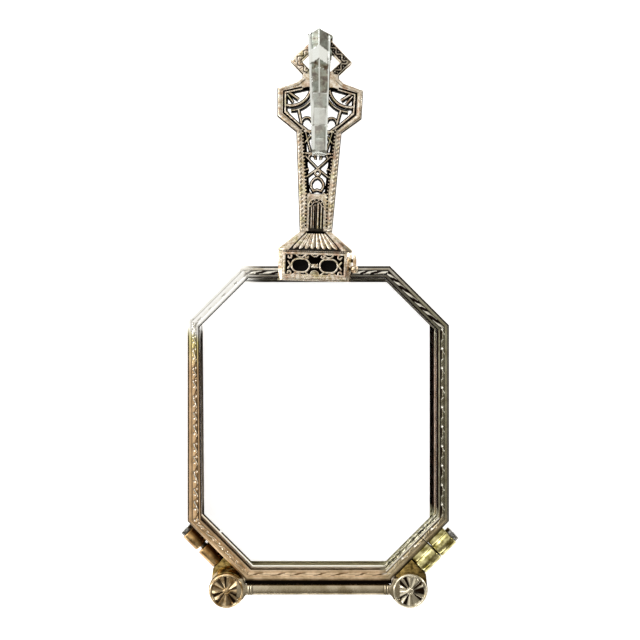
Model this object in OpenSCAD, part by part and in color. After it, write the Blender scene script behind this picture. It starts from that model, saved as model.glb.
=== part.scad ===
// Folding lorgnette: two octagonal lens rims that lie one behind the other when folded, a bridge bar
// that swings them apart, and a pierced handle with a catch block and a long bail.
// It lies face up. X runs to the right, Y towards the handle's end, Z towards the viewer.
// Every piece is drawn around the middle of the rims and then moved so that the origin is the
// middle of the folded outline, on the table.

/* [Rims] */
// Outer width of each rim
rim_w = 32.8; // [29:0.2:38]
// Outer height of each rim
rim_h = 39.4; // [35:0.2:46]
// Length that each corner of the octagon takes off the sides
rim_corner = 7.4; // [6.8:0.1:8.6]
// Width of a rim's rail, seen from the front
rail_w = 1.4; // [1.2:0.05:1.7]
// Depth of a rim, front to back
rim_depth = 2.2; // [2:0.05:2.6]
// Depth of the groove that holds a lens
groove_depth = 0.4; // [0.3:0.05:0.6]
// Thickness of a lens
lens_t = 0.9; // [0.7:0.05:1.2]
// Free height between the rear rim and the front rim
layer_gap = 0.3; // [0.2:0.05:0.5]

/* [Fits] */
// Radial clearance of a turning pin
running_gap = 0.05; // [0.03:0.01:0.08]
// Clearance of soldered, pressed and seated pieces
seat_gap = 0.03; // [0.02:0.01:0.04]
// Clearance between faces that pass each other
slide_gap = 0.1; // [0.08:0.01:0.14]

/* [Closing barrels] */
// Radius of a closing barrel
barrel_r = 1.1; // [0.95:0.05:1.15]
// Distance from the rim's edge to the barrel's surface
barrel_off = 0.5; // [0.3:0.05:0.7]
// Length of the barrel half at the screw head
barrel_upper = 2.6; // [2:0.1:3]
// Length of the barrel half beside the hinge
barrel_lower = 2.9; // [2.2:0.1:3]
// Distance from the rim's corner to the split, along the diagonal
split_at = 3.8; // [3.4:0.1:4.2]
// Width of the front rim's split
front_split = 0.12; // [0.1:0.02:0.3]
// Width of the rear rim's split
rear_split = 0.4; // [0.2:0.05:0.6]
// Radius of a closing screw's shank
screw_r = 0.45; // [0.35:0.05:0.5]
// Radius of a closing screw's head
screw_head_r = 0.95; // [0.8:0.05:1]
// Height of a closing screw's head
screw_head_h = 0.5; // [0.4:0.05:0.7]

/* [Hinges] */
// Radius of a hinge drum and of the star disc over it
drum_r = 2.25; // [2:0.05:2.5]
// Wall of a hinge drum
drum_wall = 0.35; // [0.3:0.05:0.5]
// Gap between a drum and the rim's diagonal edge
drum_gap = 0.25; // [0.2:0.05:0.5]
// Depth of the spring chamber in a drum
chamber_depth = 1.3; // [1.1:0.05:1.5]
// Radius of a pivot pin
pin_r = 0.5; // [0.4:0.05:0.6]
// Radius of the washer riveted on a pivot pin
washer_r = 0.9; // [0.8:0.05:1]
// Thickness of the washer
washer_t = 0.25; // [0.2:0.05:0.3]
// Turns of a hinge spring
spring_turns = 2.5; // [2:0.5:3]
// Thickness of a hinge spring's strip
spring_strip = 0.12; // [0.08:0.01:0.14]

/* [Bridge] */
// Width of the bridge bar
bar_w = 1; // [0.8:0.05:1.2]
// Gap between the front rim's lower edge and the bar
bar_gap = 0.6; // [0.5:0.05:1]
// Depth of the bridge bar
bar_depth = 1.8; // [1.4:0.05:1.9]
// Thickness of a star disc
disc_t = 0.5; // [0.45:0.05:0.7]
// Number of rays cut in a star disc
disc_rays = 12; // [8:1:14]
// Length of the collar at each end of the bar
collar_len = 0.45; // [0.3:0.05:0.6]

/* [Catch block] */
// Width of the block at the back
block_w = 9.2; // [8.8:0.1:10.4]
// Height of the block, along the handle
block_h = 3.75; // [3.65:0.05:4.2]
// Width of the ornamented front panel
panel_w = 7.9; // [7.4:0.1:8.6]
// Thickness of the front panel
panel_t = 0.35; // [0.25:0.05:0.5]
// Thickness of the block's walls
block_wall = 0.45; // [0.35:0.05:0.5]
// How far the block reaches in front of the rim
block_rise = 0.5; // [0.4:0.05:0.7]
// Length of each oval opening in the panel
oval_len = 2.05; // [1.7:0.05:2.4]
// Height of each oval opening
oval_h = 1.45; // [1.2:0.05:1.6]
// Thickness of the catch lever
lever_t = 0.9; // [0.7:0.05:1]
// Radius of the pin that the lever rocks on
lever_pin_r = 0.2; // [0.16:0.02:0.24]
// Sideways place of the pin in the block
pivot_x = 1.2; // [0.8:0.1:1.6]
// Distance from the pin to the catch nose
nose_arm = 2.25; // [1.8:0.05:2.5]
// Radius of the thumb ball on the lever
ball_r = 0.5; // [0.4:0.05:0.6]
// How far the catch nose reaches over the tab
nose_bite = 0.08; // [0.04:0.01:0.1]
// Depth of the nose beside the tab
nose_depth = 0.4; // [0.3:0.05:0.5]
// How far the tab reaches out of the rear rim
tab_reach = 0.65; // [0.6:0.02:0.7]
// Width of the tab
tab_w = 1.2; // [0.9:0.1:1.5]
// Radius of the catch nose
nose_r = 0.25; // [0.2:0.01:0.28]

/* [Handle] */
// Lean of the handle to the right, in degrees
handle_lean = 1.8; // [0:0.1:2.5]
// Sideways place of the handle's foot
handle_x = -0.5; // [-0.8:0.1:0]
// How far the block's lower edge covers the lens side of the rail
block_overlap = 0.5; // [0.3:0.05:0.7]
// Thickness of the handle
handle_t = 1.6; // [1.4:0.05:1.8]
// Height of the fluted cap
cap_h = 2.45; // [2:0.05:3]
// Number of flutes on the cap
cap_flutes = 7; // [5:1:8]
// Width of the shaft at its foot
shaft_foot_w = 3.9; // [3.6:0.1:4.4]
// Width of the shaft under the crosspiece
shaft_top_w = 5.5; // [5:0.1:6.2]
// Length of the shaft
shaft_len = 12.5; // [11.5:0.1:15]
// Width of the crosspiece
cross_w = 10.6; // [9.6:0.1:12]
// Height of the crosspiece's straight sides
cross_side = 3.5; // [3:0.1:4]
// Height of the slopes below the crosspiece
cross_slope = 1.9; // [1.6:0.1:2.4]
// Height of the shoulders above the crosspiece
shoulder_h = 0.9; // [0.7:0.1:1.2]
// Width of the neck below the diamond
neck_w = 4.4; // [4:0.1:4.8]
// Half diagonal of the diamond
diamond_r = 3.87; // [3.7:0.05:4.4]
// Half diagonal of the hole in the diamond
diamond_hole_r = 2.45; // [2.3:0.05:2.5]
// Thickness of the diamond
diamond_t = 1.2; // [1:0.05:1.3]
// Height taken off the diamond's point, under the bail
diamond_cut = 0.87; // [0.75:0.02:1]
// Width of the engraved border along the handle
border_w = 0.75; // [0.6:0.05:0.9]
// Width of a filigree bar
wire_w = 0.28; // [0.22:0.02:0.36]

/* [Bail] */
// Width of the bail at its head
bail_w = 2.75; // [2.5:0.05:2.9]
// Width of the bail at its foot
bail_foot_w = 1.8; // [1.5:0.05:2.1]
// Length of the bail
bail_len = 15.6; // [13:0.1:18]
// Thickness of the bail's strip
bail_t = 0.25; // [0.2:0.01:0.3]
// Height of the ridge along the bail
bail_ridge = 0.35; // [0.2:0.05:0.5]
// Height of the gable at the bail's head
bail_gable = 0.47; // [0.3:0.05:0.6]
// Free slot between the bail's legs
bail_slot = 0.5; // [0.4:0.05:0.7]
// Clearance around the diamond's point as the bail turns
bail_gap = 0.08; // [0.05:0.01:0.12]

/* [Hidden] */
$fn = 48;

// Levels of the two frames
front_z = rim_depth + layer_gap;
front_top = front_z + rim_depth;
disc_z = front_top + slide_gap;
disc_top = disc_z + disc_t;
chamber_z = disc_z - slide_gap / 2 - chamber_depth;
drum_top = disc_z - slide_gap / 2;

// Closing barrels, in the frame of the diagonal
barrel_o = barrel_r + barrel_off;
barrel_start = split_at - barrel_upper;
barrel_end = split_at + barrel_lower;
saddle_t = 1.1 * barrel_r;

// Hinge centres
hinge_y = -(rim_h / 2 + bar_gap + bar_w / 2);
hinge_x = rim_w / 2 - rim_corner + (drum_r + drum_gap) * sqrt(2) - (bar_gap + bar_w / 2);
hinge_s = (rim_w / 2 - hinge_x - rim_h / 2 + rim_corner - hinge_y) / sqrt(2);
hinge_o = drum_r + drum_gap;
recess_r = washer_r + slide_gap;
recess_depth = washer_t + 1.5 * slide_gap;
bar_top = disc_top - slide_gap;
bar_half = hinge_x - drum_r - 1.5 * slide_gap;

// Handle, along its own line from the block's lower edge
handle_y = rim_h / 2 - rail_w - block_overlap;
shaft_v = block_h + cap_h;
cross_v = shaft_v + shaft_len;
side_v = cross_v + cross_slope;
top_v = side_v + cross_side;
neck_v = top_v + shoulder_h;
diamond_v = neck_v + 2.6;
hole_floor_v = diamond_v - 1.2;
point_v = diamond_v + diamond_r - diamond_cut;
handle_z = front_top - handle_t;
handle_mid = front_top - handle_t / 2;
plate_split = handle_z + handle_t * 0.35;
diamond_back = handle_mid - diamond_t / 2;
diamond_front = handle_mid + diamond_t / 2;

// Bail around the diamond's point
bar_low_v = diamond_v + diamond_hole_r - bail_w / 2;
bail_v = (point_v + bar_low_v) / 2;
pocket_r = norm([(point_v - bar_low_v) / 2, diamond_t / 2]) + bail_gap;
bail_r = pocket_r + bail_t;
bail_back_leg = front_top + 1.5 * slide_gap;
bail_front = bail_back_leg + bail_slot + 2 * bail_t + bail_ridge;
bail_top_v = bail_v + bail_r + bail_gable;
bail_foot_v = bail_top_v - bail_len;
bail_slope = atan(bail_ridge / (bail_w / 2));

// Catch block
block_z = front_z + slide_gap;
block_front = front_top + block_rise;
panel_front = block_front + panel_t;
rail_v = rail_w + block_overlap;
room_v = rail_v + slide_gap;
room_top = block_h - block_wall / 2;
room_half = block_w / 2 - block_wall;
room_z = block_z + block_wall / 2;
room_front = front_top;
arm_h = lever_t / 2;
tab_v = rail_v + tab_reach;
nose_v = tab_v + nose_r - nose_bite;
nose_x = pivot_x - nose_arm;
tab_x = nose_x + nose_r + slide_gap;
lever_z = (room_z + room_front - lever_t) / 2;
thumb_x = block_w / 2 + ball_r / 2 + slide_gap;
ball_v = rail_v - ball_r * 0.6;
ball_z = front_top + ball_r + slide_gap;
oval_v = block_h / 2;
oval_x = oval_len / 2 + oval_h / 2;

// Middle of the folded outline
outline_top = handle_y + bail_top_v * cos(handle_lean);
outline_low = hinge_y - drum_r;
middle_y = (outline_top + outline_low) / 2;

white_gold = "#c9c2ac";
yellow_gold = "#c8a46a";
steel = "#8d9096";
glass = [0.86, 0.93, 0.95, 0.35];

// Puts a piece drawn around the middle of the rims in the part's own frame
module placed() {
    translate([0, -middle_y, 0]) children();
}

// The leaning line of the handle
module on_handle() {
    placed() translate([handle_x, handle_y, 0]) rotate([0, 0, -handle_lean]) children();
}

// The frame of the lower right diagonal: x down along it, y outwards
module on_diagonal() {
    translate([rim_w / 2, -(rim_h / 2 - rim_corner), 0]) rotate([0, 0, 225]) children();
}

// The rear frame's fittings lie on the left, as the mirror of the front ones
module side(rear) {
    placed() mirror([rear ? 1 : 0, 0, 0]) children();
}

// Octagon of the rims, drawn in by an inset
module octagon(inset) {
    half_w = rim_w / 2 - inset;
    half_h = rim_h / 2 - inset;
    corner = rim_corner - inset * (2 - sqrt(2));
    polygon([
        [half_w, half_h - corner], [half_w - corner, half_h],
        [corner - half_w, half_h], [-half_w, half_h - corner],
        [-half_w, corner - half_h], [corner - half_w, -half_h],
        [half_w - corner, -half_h], [half_w, corner - half_h]
    ]);
}

module rim(z, split) {
    lens_z = z + (rim_depth - lens_t) / 2;
    difference() {
        translate([0, 0, z]) linear_extrude(rim_depth) difference() {
            octagon(0);
            octagon(rail_w);
        }
        translate([0, 0, lens_z - seat_gap]) linear_extrude(lens_t + 2 * seat_gap)
            octagon(rail_w - groove_depth);
        on_diagonal() translate([split_at - split / 2, -rail_w * 2, z - 1])
            cube([split, rail_w * 3, rim_depth + 2]);
    }
}

module lens(z) {
    translate([0, 0, z + (rim_depth - lens_t) / 2]) linear_extrude(lens_t)
        octagon(rail_w - groove_depth + seat_gap);
}

// One half of a closing barrel with the saddle that it is soldered by
module barrel_half(z, from, to, bore) {
    mid = z + rim_depth / 2;
    on_diagonal() difference() {
        union() {
            translate([from, barrel_o, mid]) rotate([0, 90, 0]) cylinder(r = barrel_r, h = to - from);
            translate([from, seat_gap, mid - saddle_t / 2]) cube([to - from, barrel_o, saddle_t]);
        }
        translate([from - 1, barrel_o, mid]) rotate([0, 90, 0]) cylinder(r = bore, h = to - from + 2);
    }
}

module barrel_upper_half(z, split) {
    barrel_half(z, barrel_start, split_at - split / 2, screw_r + running_gap);
}

module barrel_lower_half(z, split) {
    barrel_half(z, split_at + split / 2, barrel_end, screw_r + seat_gap);
}

module closing_screw(z) {
    mid = z + rim_depth / 2;
    head = barrel_start - seat_gap - screw_head_h;
    slot_w = screw_head_r * 0.25;
    on_diagonal() translate([head, barrel_o, mid]) rotate([0, 90, 0]) difference() {
        union() {
            cylinder(r = screw_head_r, h = screw_head_h);
            cylinder(r = screw_r, h = barrel_end - head - seat_gap);
        }
        translate([-screw_head_r * 1.5, -slot_w / 2, -screw_head_h * 0.6])
            cube([screw_head_r * 3, slot_w, screw_head_h]);
    }
}

// Hinge drum with its spring chamber, the pin's bearing and the web to the rim and the barrel
module hinge_drum(z) {
    web_s = barrel_end + seat_gap;
    edge = drum_r * sqrt(0.5);
    difference() {
        union() {
            translate([hinge_x, hinge_y, z]) cylinder(r = drum_r, h = drum_top - z);
            translate([0, 0, z]) on_diagonal() linear_extrude(rim_depth - seat_gap) polygon([
                [web_s, seat_gap], [web_s, barrel_o + barrel_r * 0.9],
                [hinge_s - edge, hinge_o + edge], [hinge_s, hinge_o], [hinge_s, seat_gap]
            ]);
        }
        translate([hinge_x, hinge_y, 0]) {
            translate([0, 0, chamber_z]) cylinder(r = drum_r - drum_wall, h = chamber_depth + 1);
            translate([0, 0, z - 1]) cylinder(r = pin_r + running_gap, h = drum_top - z + 2);
            translate([0, 0, z - 1]) cylinder(r = recess_r, h = recess_depth + 1);
        }
    }
}

// Flat spiral strip, with an eye round the pin
module hinge_spring() {
    steps = 20 * spring_turns;
    strip_h = chamber_depth - 3 * slide_gap;
    eye_r = pin_r + running_gap;
    inner_r = eye_r + spring_strip / 2;
    outer_r = drum_r - drum_wall - slide_gap - spring_strip;
    function spiral(i, out) = (inner_r + out + (outer_r - inner_r) * i / steps)
        * [cos(18 * i), sin(18 * i)];
    translate([hinge_x, hinge_y, chamber_z + slide_gap]) difference() {
        union() {
            cylinder(r = eye_r + spring_strip, h = strip_h);
            linear_extrude(strip_h) polygon(concat(
                [for (i = [0:steps]) spiral(i, 0)],
                [for (i = [steps:-1:0]) spiral(i, spring_strip)]
            ));
        }
        translate([0, 0, -1]) cylinder(r = eye_r, h = strip_h + 2);
    }
}

module pivot_pin(z) {
    low = z + slide_gap;
    translate([hinge_x, hinge_y, low])
        cylinder(r = pin_r, h = disc_z + disc_t * 0.6 - seat_gap - low);
}

module pivot_washer(z) {
    translate([hinge_x, hinge_y, z + slide_gap]) difference() {
        cylinder(r = washer_r, h = washer_t);
        translate([0, 0, -1]) cylinder(r = pin_r + seat_gap / 2, h = washer_t + 2);
    }
}

// Star disc: rays are V cuts, inside a plain rim, round a low boss
module star_disc() {
    ray_in = drum_r * 0.22;
    ray_out = drum_r * 0.86;
    ray_w = drum_r * 0.16;
    difference() {
        translate([0, 0, disc_z]) cylinder(r = drum_r, h = disc_t);
        for (i = [0:disc_rays - 1]) {
            rotate([0, 0, (i + 0.5) * 360 / disc_rays]) translate([ray_in, 0, disc_top])
                rotate([45, 0, 0]) translate([0, -ray_w / 2, -ray_w / 2])
                    cube([ray_out - ray_in, ray_w, ray_w]);
        }
        translate([0, 0, disc_z - 1]) cylinder(r = pin_r + seat_gap / 2, h = 1 + disc_t * 0.6);
    }
}

// One end of the bridge: disc, spread neck and collar
module bridge_end() {
    neck_r = drum_r * 0.7;
    neck_half = bar_w / 2 + neck_r;
    neck_x = bar_half - neck_r;
    translate([hinge_x, hinge_y, 0]) star_disc();
    difference() {
        translate([neck_x, hinge_y - neck_half, disc_z])
            cube([hinge_x - drum_r * 0.75 - neck_x, 2 * neck_half, bar_top - disc_z]);
        for (s = [-1, 1]) {
            translate([neck_x, hinge_y + s * neck_half, disc_z - 1]) cylinder(r = neck_r, h = disc_t + 2);
            translate([hinge_x, hinge_y + s * (neck_half + 0.35 * drum_r), disc_z - 1])
                translate([-drum_r, -0.55 * drum_r, 0]) cube([drum_r, 1.1 * drum_r, disc_t + 2]);
        }
    }
    translate([bar_half - neck_r - collar_len, hinge_y - bar_w * 0.62, disc_top - bar_depth - slide_gap])
        cube([collar_len, bar_w * 1.24, bar_depth + slide_gap]);
}

module bridge() {
    bridge_end();
    mirror([1, 0, 0]) bridge_end();
    translate([-bar_half, hinge_y - bar_w / 2, bar_top - bar_depth])
        cube([2 * bar_half, bar_w, bar_depth]);
    translate([-hinge_x + drum_r * 0.8, hinge_y - bar_w / 2, disc_z])
        cube([2 * (hinge_x - drum_r * 0.8), bar_w, bar_top - disc_z]);
}

// Outline of the handle from the cap to the diamond's cut point
module handle_outline() {
    foot = shaft_foot_w / 2;
    top = shaft_top_w / 2;
    cross = cross_w / 2;
    neck = neck_w / 2;
    right = [
        [foot, shaft_v + seat_gap], [top, cross_v], [cross - 0.1, side_v], [cross, top_v],
        [neck + 0.2, neck_v - 0.1], [neck, neck_v + 0.2],
        [neck, diamond_v - diamond_r + neck], [diamond_r, diamond_v], [diamond_cut, point_v]
    ];
    polygon(concat(right, [for (i = [len(right) - 1:-1:0]) [-right[i][0], right[i][1]]]));
}

// Windows through the handle: diamond, crosspiece and shaft
module handle_windows(grow) {
    cross = cross_w / 2 - border_w - 0.2 + grow;
    top = shaft_top_w / 2 - border_w + grow;
    foot = shaft_foot_w / 2 - border_w + grow;
    floor_half = diamond_hole_r - (diamond_v - hole_floor_v);
    polygon([
        [-floor_half, hole_floor_v], [floor_half, hole_floor_v], [diamond_hole_r, diamond_v],
        [0, diamond_v + diamond_hole_r], [-diamond_hole_r, diamond_v]
    ]);
    polygon([
        [-foot, shaft_v + shaft_len * 0.36], [foot, shaft_v + shaft_len * 0.36],
        [top, cross_v + 0.3], [cross, side_v + 0.4], [cross, top_v - 0.45],
        [1.6, neck_v - 0.75], [-1.6, neck_v - 0.75],
        [-cross, top_v - 0.45], [-cross, side_v + 0.4], [-top, cross_v + 0.3]
    ]);
}

module wire(from, to, w) {
    run = to - from;
    translate(from) rotate([0, 0, atan2(run[1], run[0])]) translate([-w / 2, -w / 2])
        square([norm(run) + w, w]);
}

module wire_ring(centre, r) {
    translate(centre) difference() {
        circle(r = r + wire_w / 2);
        circle(r = r - wire_w / 2);
    }
}

// Filigree inside the windows: swags and struts above, a cross, a ring and a loop below
module filigree() {
    swag_r = cross_w * 0.245;
    swag = [cross_w * 0.35, top_v + 0.4];
    loop_v = shaft_v + shaft_len * 0.475;
    knot_v = shaft_v + shaft_len * 0.61;
    bar_v = shaft_v + shaft_len * 0.76;
    reach = shaft_top_w / 2 - border_w;
    for (s = [-1, 1]) {
        wire_ring([s * swag[0], swag[1]], swag_r);
        wire([s * 2.3, side_v + 0.95], [s * 2, cross_v + 0.9], wire_w);
        wire([s * 1.4, side_v + 1.2], [s * cross_w / 2 * 0.86, side_v + 0.8], wire_w);
        wire([0, knot_v], [s * reach, knot_v + 1.35], wire_w);
        wire([0, knot_v], [s * reach, knot_v - 1.35], wire_w);
        wire([s * 0.2, bar_v], [s * reach, cross_v + 0.2], wire_w);
    }
    wire([-reach, bar_v], [reach, bar_v], wire_w);
    wire([-reach, cross_v + 0.45], [reach, cross_v + 0.45], wire_w);
    wire([0, cross_v + 0.45], [0, neck_v - 0.6], wire_w);
    wire_ring([0, knot_v], wire_w * 1.25);
    wire_ring([0, loop_v], shaft_foot_w * 0.19);
    wire([0, knot_v], [0, loop_v + 0.6], wire_w);
    wire([0, loop_v - 0.7], [0, shaft_v + shaft_len * 0.34], wire_w);
}

module handle_front_shape() {
    arch_r = shaft_foot_w * 0.22;
    arch_v = shaft_v + shaft_len * 0.25;
    arch_foot = shaft_v + 0.5;
    plate = plate_split + seat_gap;
    difference() {
        union() {
            translate([0, 0, plate]) linear_extrude(front_top - plate) difference() {
                handle_outline();
                handle_windows(0);
            }
            translate([0, 0, plate]) linear_extrude((front_top - plate) * 0.7) intersection() {
                filigree();
                handle_outline();
                translate([-cross_w, shaft_v]) square([2 * cross_w, neck_v - shaft_v]);
            }
        }
        translate([-diamond_r - 1, hole_floor_v - 0.5, diamond_front])
            cube([2 * diamond_r + 2, 2 * diamond_r + 2, 2]);
        difference() {
            translate([0, 0, front_top - 0.35]) linear_extrude(1) {
                translate([0, arch_v]) circle(r = arch_r);
                translate([-arch_r, arch_foot]) square([2 * arch_r, arch_v - arch_foot]);
            }
            translate([-0.15, arch_foot - 1, front_top - 1]) cube([0.3, arch_v - arch_foot + 1, 1]);
        }
    }
}

module handle_back_shape() {
    difference() {
        translate([0, 0, handle_z]) linear_extrude(plate_split - handle_z) difference() {
            handle_outline();
            handle_windows(0.1);
        }
        translate([-diamond_r - 1, hole_floor_v - 0.5, diamond_back - 2])
            cube([2 * diamond_r + 2, 2 * diamond_r + 2, 2]);
    }
}

// Hip roof between the block and the shaft, with a fan of flutes on its front
module cap_shape() {
    low = block_h + seat_gap;
    eaves = block_w / 2;
    ridge = shaft_foot_w / 2;
    rise = shaft_v - low;
    front_slope = atan((panel_front - front_top) / rise);
    back_slope = atan((handle_z - block_z) / rise);
    flute_r = panel_w * 0.04;
    fascia = block_h * 0.04;
    difference() {
        translate([0, 0, block_z]) linear_extrude(panel_front - block_z) polygon([
            [-eaves, low], [eaves, low], [eaves, low + fascia],
            [ridge, shaft_v], [-ridge, shaft_v], [-eaves, low + fascia]
        ]);
        translate([-block_w, low, panel_front]) rotate([-front_slope, 0, 0])
            cube([2 * block_w, 2 * rise, 3]);
        translate([-block_w, low, block_z]) rotate([back_slope, 0, 0]) translate([0, 0, -3])
            cube([2 * block_w, 2 * rise, 3]);
        translate([0, low, panel_front]) rotate([-front_slope, 0, 0])
            for (i = [0:cap_flutes - 1]) {
                k = i - (cap_flutes - 1) / 2;
                foot = k * panel_w * 0.88 / cap_flutes;
                head = k * shaft_foot_w * 0.55 / cap_flutes;
                lean = atan((foot - head) / rise);
                translate([foot, 0, flute_r * 0.55]) rotate([0, 0, lean]) rotate([-90, 0, 0])
                    translate([0, 0, -1]) cylinder(r = flute_r, h = rise * 0.9 + 1);
            }
    }
}

// Outline of the block seen along the handle: wide at the back, drawn in to the panel
module block_section() {
    half = block_w / 2;
    face = panel_w / 2 + 0.1;
    polygon([
        [-half, block_z], [half, block_z], [half, front_top],
        [face, block_front], [-face, block_front], [-half, front_top]
    ]);
}

module oval_pair() {
    end_r = oval_h / 2;
    run = oval_len - oval_h;
    for (s = [-1, 1]) {
        translate([s * oval_x - run / 2, oval_v]) circle(r = end_r);
        translate([s * oval_x + run / 2, oval_v]) circle(r = end_r);
        translate([s * oval_x - run / 2, oval_v - end_r]) square([run, oval_h]);
    }
}

module case_shape() {
    rail_cut = front_top + seat_gap - block_z + 1;
    difference() {
        on_handle() case_shell();
        placed() translate([handle_x - block_w, 0, block_z - 1])
            cube([2 * block_w, rim_h / 2 + seat_gap, rail_cut]);
    }
}

// The catch's room is open at the back, and the lever leaves it on the right
module case_shell() {
    pin_seat = (block_front - room_front) / 2;
    difference() {
        translate([0, block_h, 0]) rotate([90, 0, 0]) linear_extrude(block_h) block_section();
        translate([-room_half, room_v, room_z - 1])
            cube([2 * room_half, room_top - room_v, room_front - room_z + 1]);
        translate([room_half - 1, nose_v - arm_h - ball_r, lever_z - slide_gap])
            cube([3, 2 * arm_h + ball_r, lever_t + 2 * slide_gap]);
        translate([0, 0, block_front - block_rise * 0.5]) linear_extrude(2) oval_pair();
        translate([pivot_x, nose_v, room_z])
            cylinder(r = lever_pin_r + seat_gap / 2, h = room_front - room_z + pin_seat);
    }
}

module panel_shape() {
    margin = 0.2;
    difference() {
        translate([-panel_w / 2, margin, block_front + seat_gap / 2])
            cube([panel_w, block_h - margin - 0.25, panel_t]);
        translate([0, 0, block_front - 1]) linear_extrude(panel_t + 2) oval_pair();
    }
}

module back_plate_shape() {
    difference() {
        translate([-room_half + seat_gap, room_v + seat_gap, block_z])
            cube([2 * (room_half - seat_gap), room_top - room_v - 2 * seat_gap, block_wall / 2 - seat_gap]);
        translate([nose_x - nose_r - slide_gap, room_v - 1, block_z - 1])
            cube([2 * (nose_r + slide_gap), nose_v + nose_r + 0.6 - room_v + 1, 2]);
    }
}

// Rocking lever: nose beside the rear tab, pin in the block, thumb ball outside
module lever_shape() {
    left = nose_x - nose_r;
    finger = ball_r * 0.8;
    nose_low = rim_depth - nose_depth;
    arm_low = nose_v - arm_h / 2;
    difference() {
        union() {
            translate([left, arm_low, lever_z]) cube([thumb_x - left, arm_h, lever_t]);
            translate([nose_x, nose_v, nose_low]) cylinder(r = nose_r, h = lever_z + lever_t - nose_low);
            translate([pivot_x, nose_v, lever_z]) cylinder(r = lever_pin_r * 1.9, h = lever_t);
            translate([thumb_x - finger / 2, arm_low, lever_z]) cube([finger, arm_h, ball_z - lever_z]);
            translate([thumb_x - finger / 2, ball_v, ball_z - finger / 2])
                cube([finger, arm_low + arm_h - ball_v, finger]);
            translate([thumb_x, arm_low + arm_h * 0.9, ball_z]) rotate([-90, 0, 0])
                cylinder(r1 = finger / 2, r2 = finger / 8, h = ball_r);
            translate([thumb_x, ball_v, ball_z]) sphere(r = ball_r);
        }
        translate([pivot_x, nose_v, lever_z - 1]) cylinder(r = lever_pin_r + running_gap, h = lever_t + 2);
    }
}

// Leaf that presses the nose down, bent at its foot on the block's wall
module leaf_shape() {
    leaf_t = lever_t / 9;
    leaf_v = room_top - leaf_t - seat_gap;
    leaf_x = -room_half + seat_gap;
    translate([leaf_x, leaf_v, lever_z]) cube([nose_x + arm_h - leaf_x, leaf_t, lever_t]);
    translate([leaf_x, leaf_v - lever_t, lever_z]) cube([leaf_t, lever_t, lever_t]);
}

module tab_shape() {
    translate([tab_x, rail_v + seat_gap + tab_w * sin(handle_lean), rim_depth * 0.35])
        cube([tab_w, tab_v - rail_v - seat_gap - tab_w * sin(handle_lean), rim_depth * 0.65]);
}

// Side of the bail: a pocket round the diamond's point and a slot between its legs
module bail_side() {
    back = handle_mid - bail_r;
    chamfer = bail_r * 0.4;
    difference() {
        polygon([
            [bail_v - bail_r, back + chamfer], [bail_v - bail_r + chamfer, back],
            [bail_top_v - chamfer, back], [bail_top_v, back + chamfer],
            [bail_top_v, bail_front - chamfer], [bail_top_v - chamfer, bail_front],
            [bail_foot_v + 0.3, bail_front], [bail_foot_v, bail_front - 0.3],
            [bail_foot_v, bail_back_leg + 0.3], [bail_foot_v + 0.3, bail_back_leg],
            [bail_v - bail_r, bail_back_leg]
        ]);
        translate([bail_v, handle_mid]) circle(r = pocket_r);
        translate([bail_foot_v + 0.4, bail_back_leg + bail_t])
            square([bail_v - bail_foot_v - 0.4, bail_slot]);
    }
}

module bail_shape() {
    half = bail_w / 2;
    foot = bail_foot_w / 2;
    shoulder = bail_top_v - bail_gable;
    difference() {
        intersection() {
            rotate([90, 0, 90]) linear_extrude(bail_w, center = true) bail_side();
            linear_extrude(bail_front + 1) polygon([
                [-foot, bail_foot_v], [foot, bail_foot_v], [half, shoulder - 1.5], [half, shoulder],
                [0, bail_top_v], [-half, shoulder], [-half, shoulder - 1.5]
            ]);
        }
        for (s = [0, 1]) {
            mirror([s, 0, 0]) translate([0, bail_foot_v - 1, bail_front]) rotate([0, bail_slope, 0])
                cube([bail_w, bail_len + 2, 2]);
        }
    }
}

module handle_front() { color(white_gold) on_handle() handle_front_shape(); }
module handle_back() { color(white_gold) on_handle() handle_back_shape(); }
module shoulder_cap() { color(white_gold) on_handle() cap_shape(); }
module block_case() { color(white_gold) case_shape(); }
module block_front_panel() { color(white_gold) on_handle() panel_shape(); }
module block_back_plate() { color(white_gold) on_handle() back_plate_shape(); }
module release_lever() { color(yellow_gold) on_handle() lever_shape(); }
module catch_spring() { color(steel) on_handle() leaf_shape(); }
module bail() { color(white_gold) on_handle() bail_shape(); }

module lever_pin() {
    color(steel) on_handle() translate([pivot_x, nose_v, room_z + seat_gap])
        cylinder(r = lever_pin_r, h = room_front - room_z + (block_front - room_front) / 3);
}

module front_rim() { color(white_gold) placed() rim(front_z, front_split); }
module front_lens() { color(glass) placed() lens(front_z); }
module front_barrel_upper() { color(yellow_gold) side(false) barrel_upper_half(front_z, front_split); }
module front_barrel_lower() { color(yellow_gold) side(false) barrel_lower_half(front_z, front_split); }
module front_closing_screw() { color(steel) side(false) closing_screw(front_z); }
module front_hinge_drum() { color(yellow_gold) side(false) hinge_drum(front_z); }
module front_hinge_spring() { color(steel) side(false) hinge_spring(); }
module front_pivot_pin() { color(steel) side(false) pivot_pin(front_z); }
module front_pivot_washer() { color(steel) side(false) pivot_washer(front_z); }
module bridge_bar() { color(yellow_gold) placed() bridge(); }

module rear_rim() { color(yellow_gold) placed() mirror([1, 0, 0]) rim(0, rear_split); }
module rear_lens() { color(glass) placed() lens(0); }
module rear_barrel_upper() { color(yellow_gold) side(true) barrel_upper_half(0, rear_split); }
module rear_barrel_lower() { color(yellow_gold) side(true) barrel_lower_half(0, rear_split); }
module rear_closing_screw() { color(steel) side(true) closing_screw(0); }
module rear_hinge_drum() { color(yellow_gold) side(true) hinge_drum(0); }
module rear_hinge_spring() { color(steel) side(true) hinge_spring(); }
module rear_pivot_pin() { color(steel) side(true) pivot_pin(0); }
module rear_pivot_washer() { color(steel) side(true) pivot_washer(0); }
module rear_catch_tab() { color(yellow_gold) on_handle() tab_shape(); }

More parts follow.
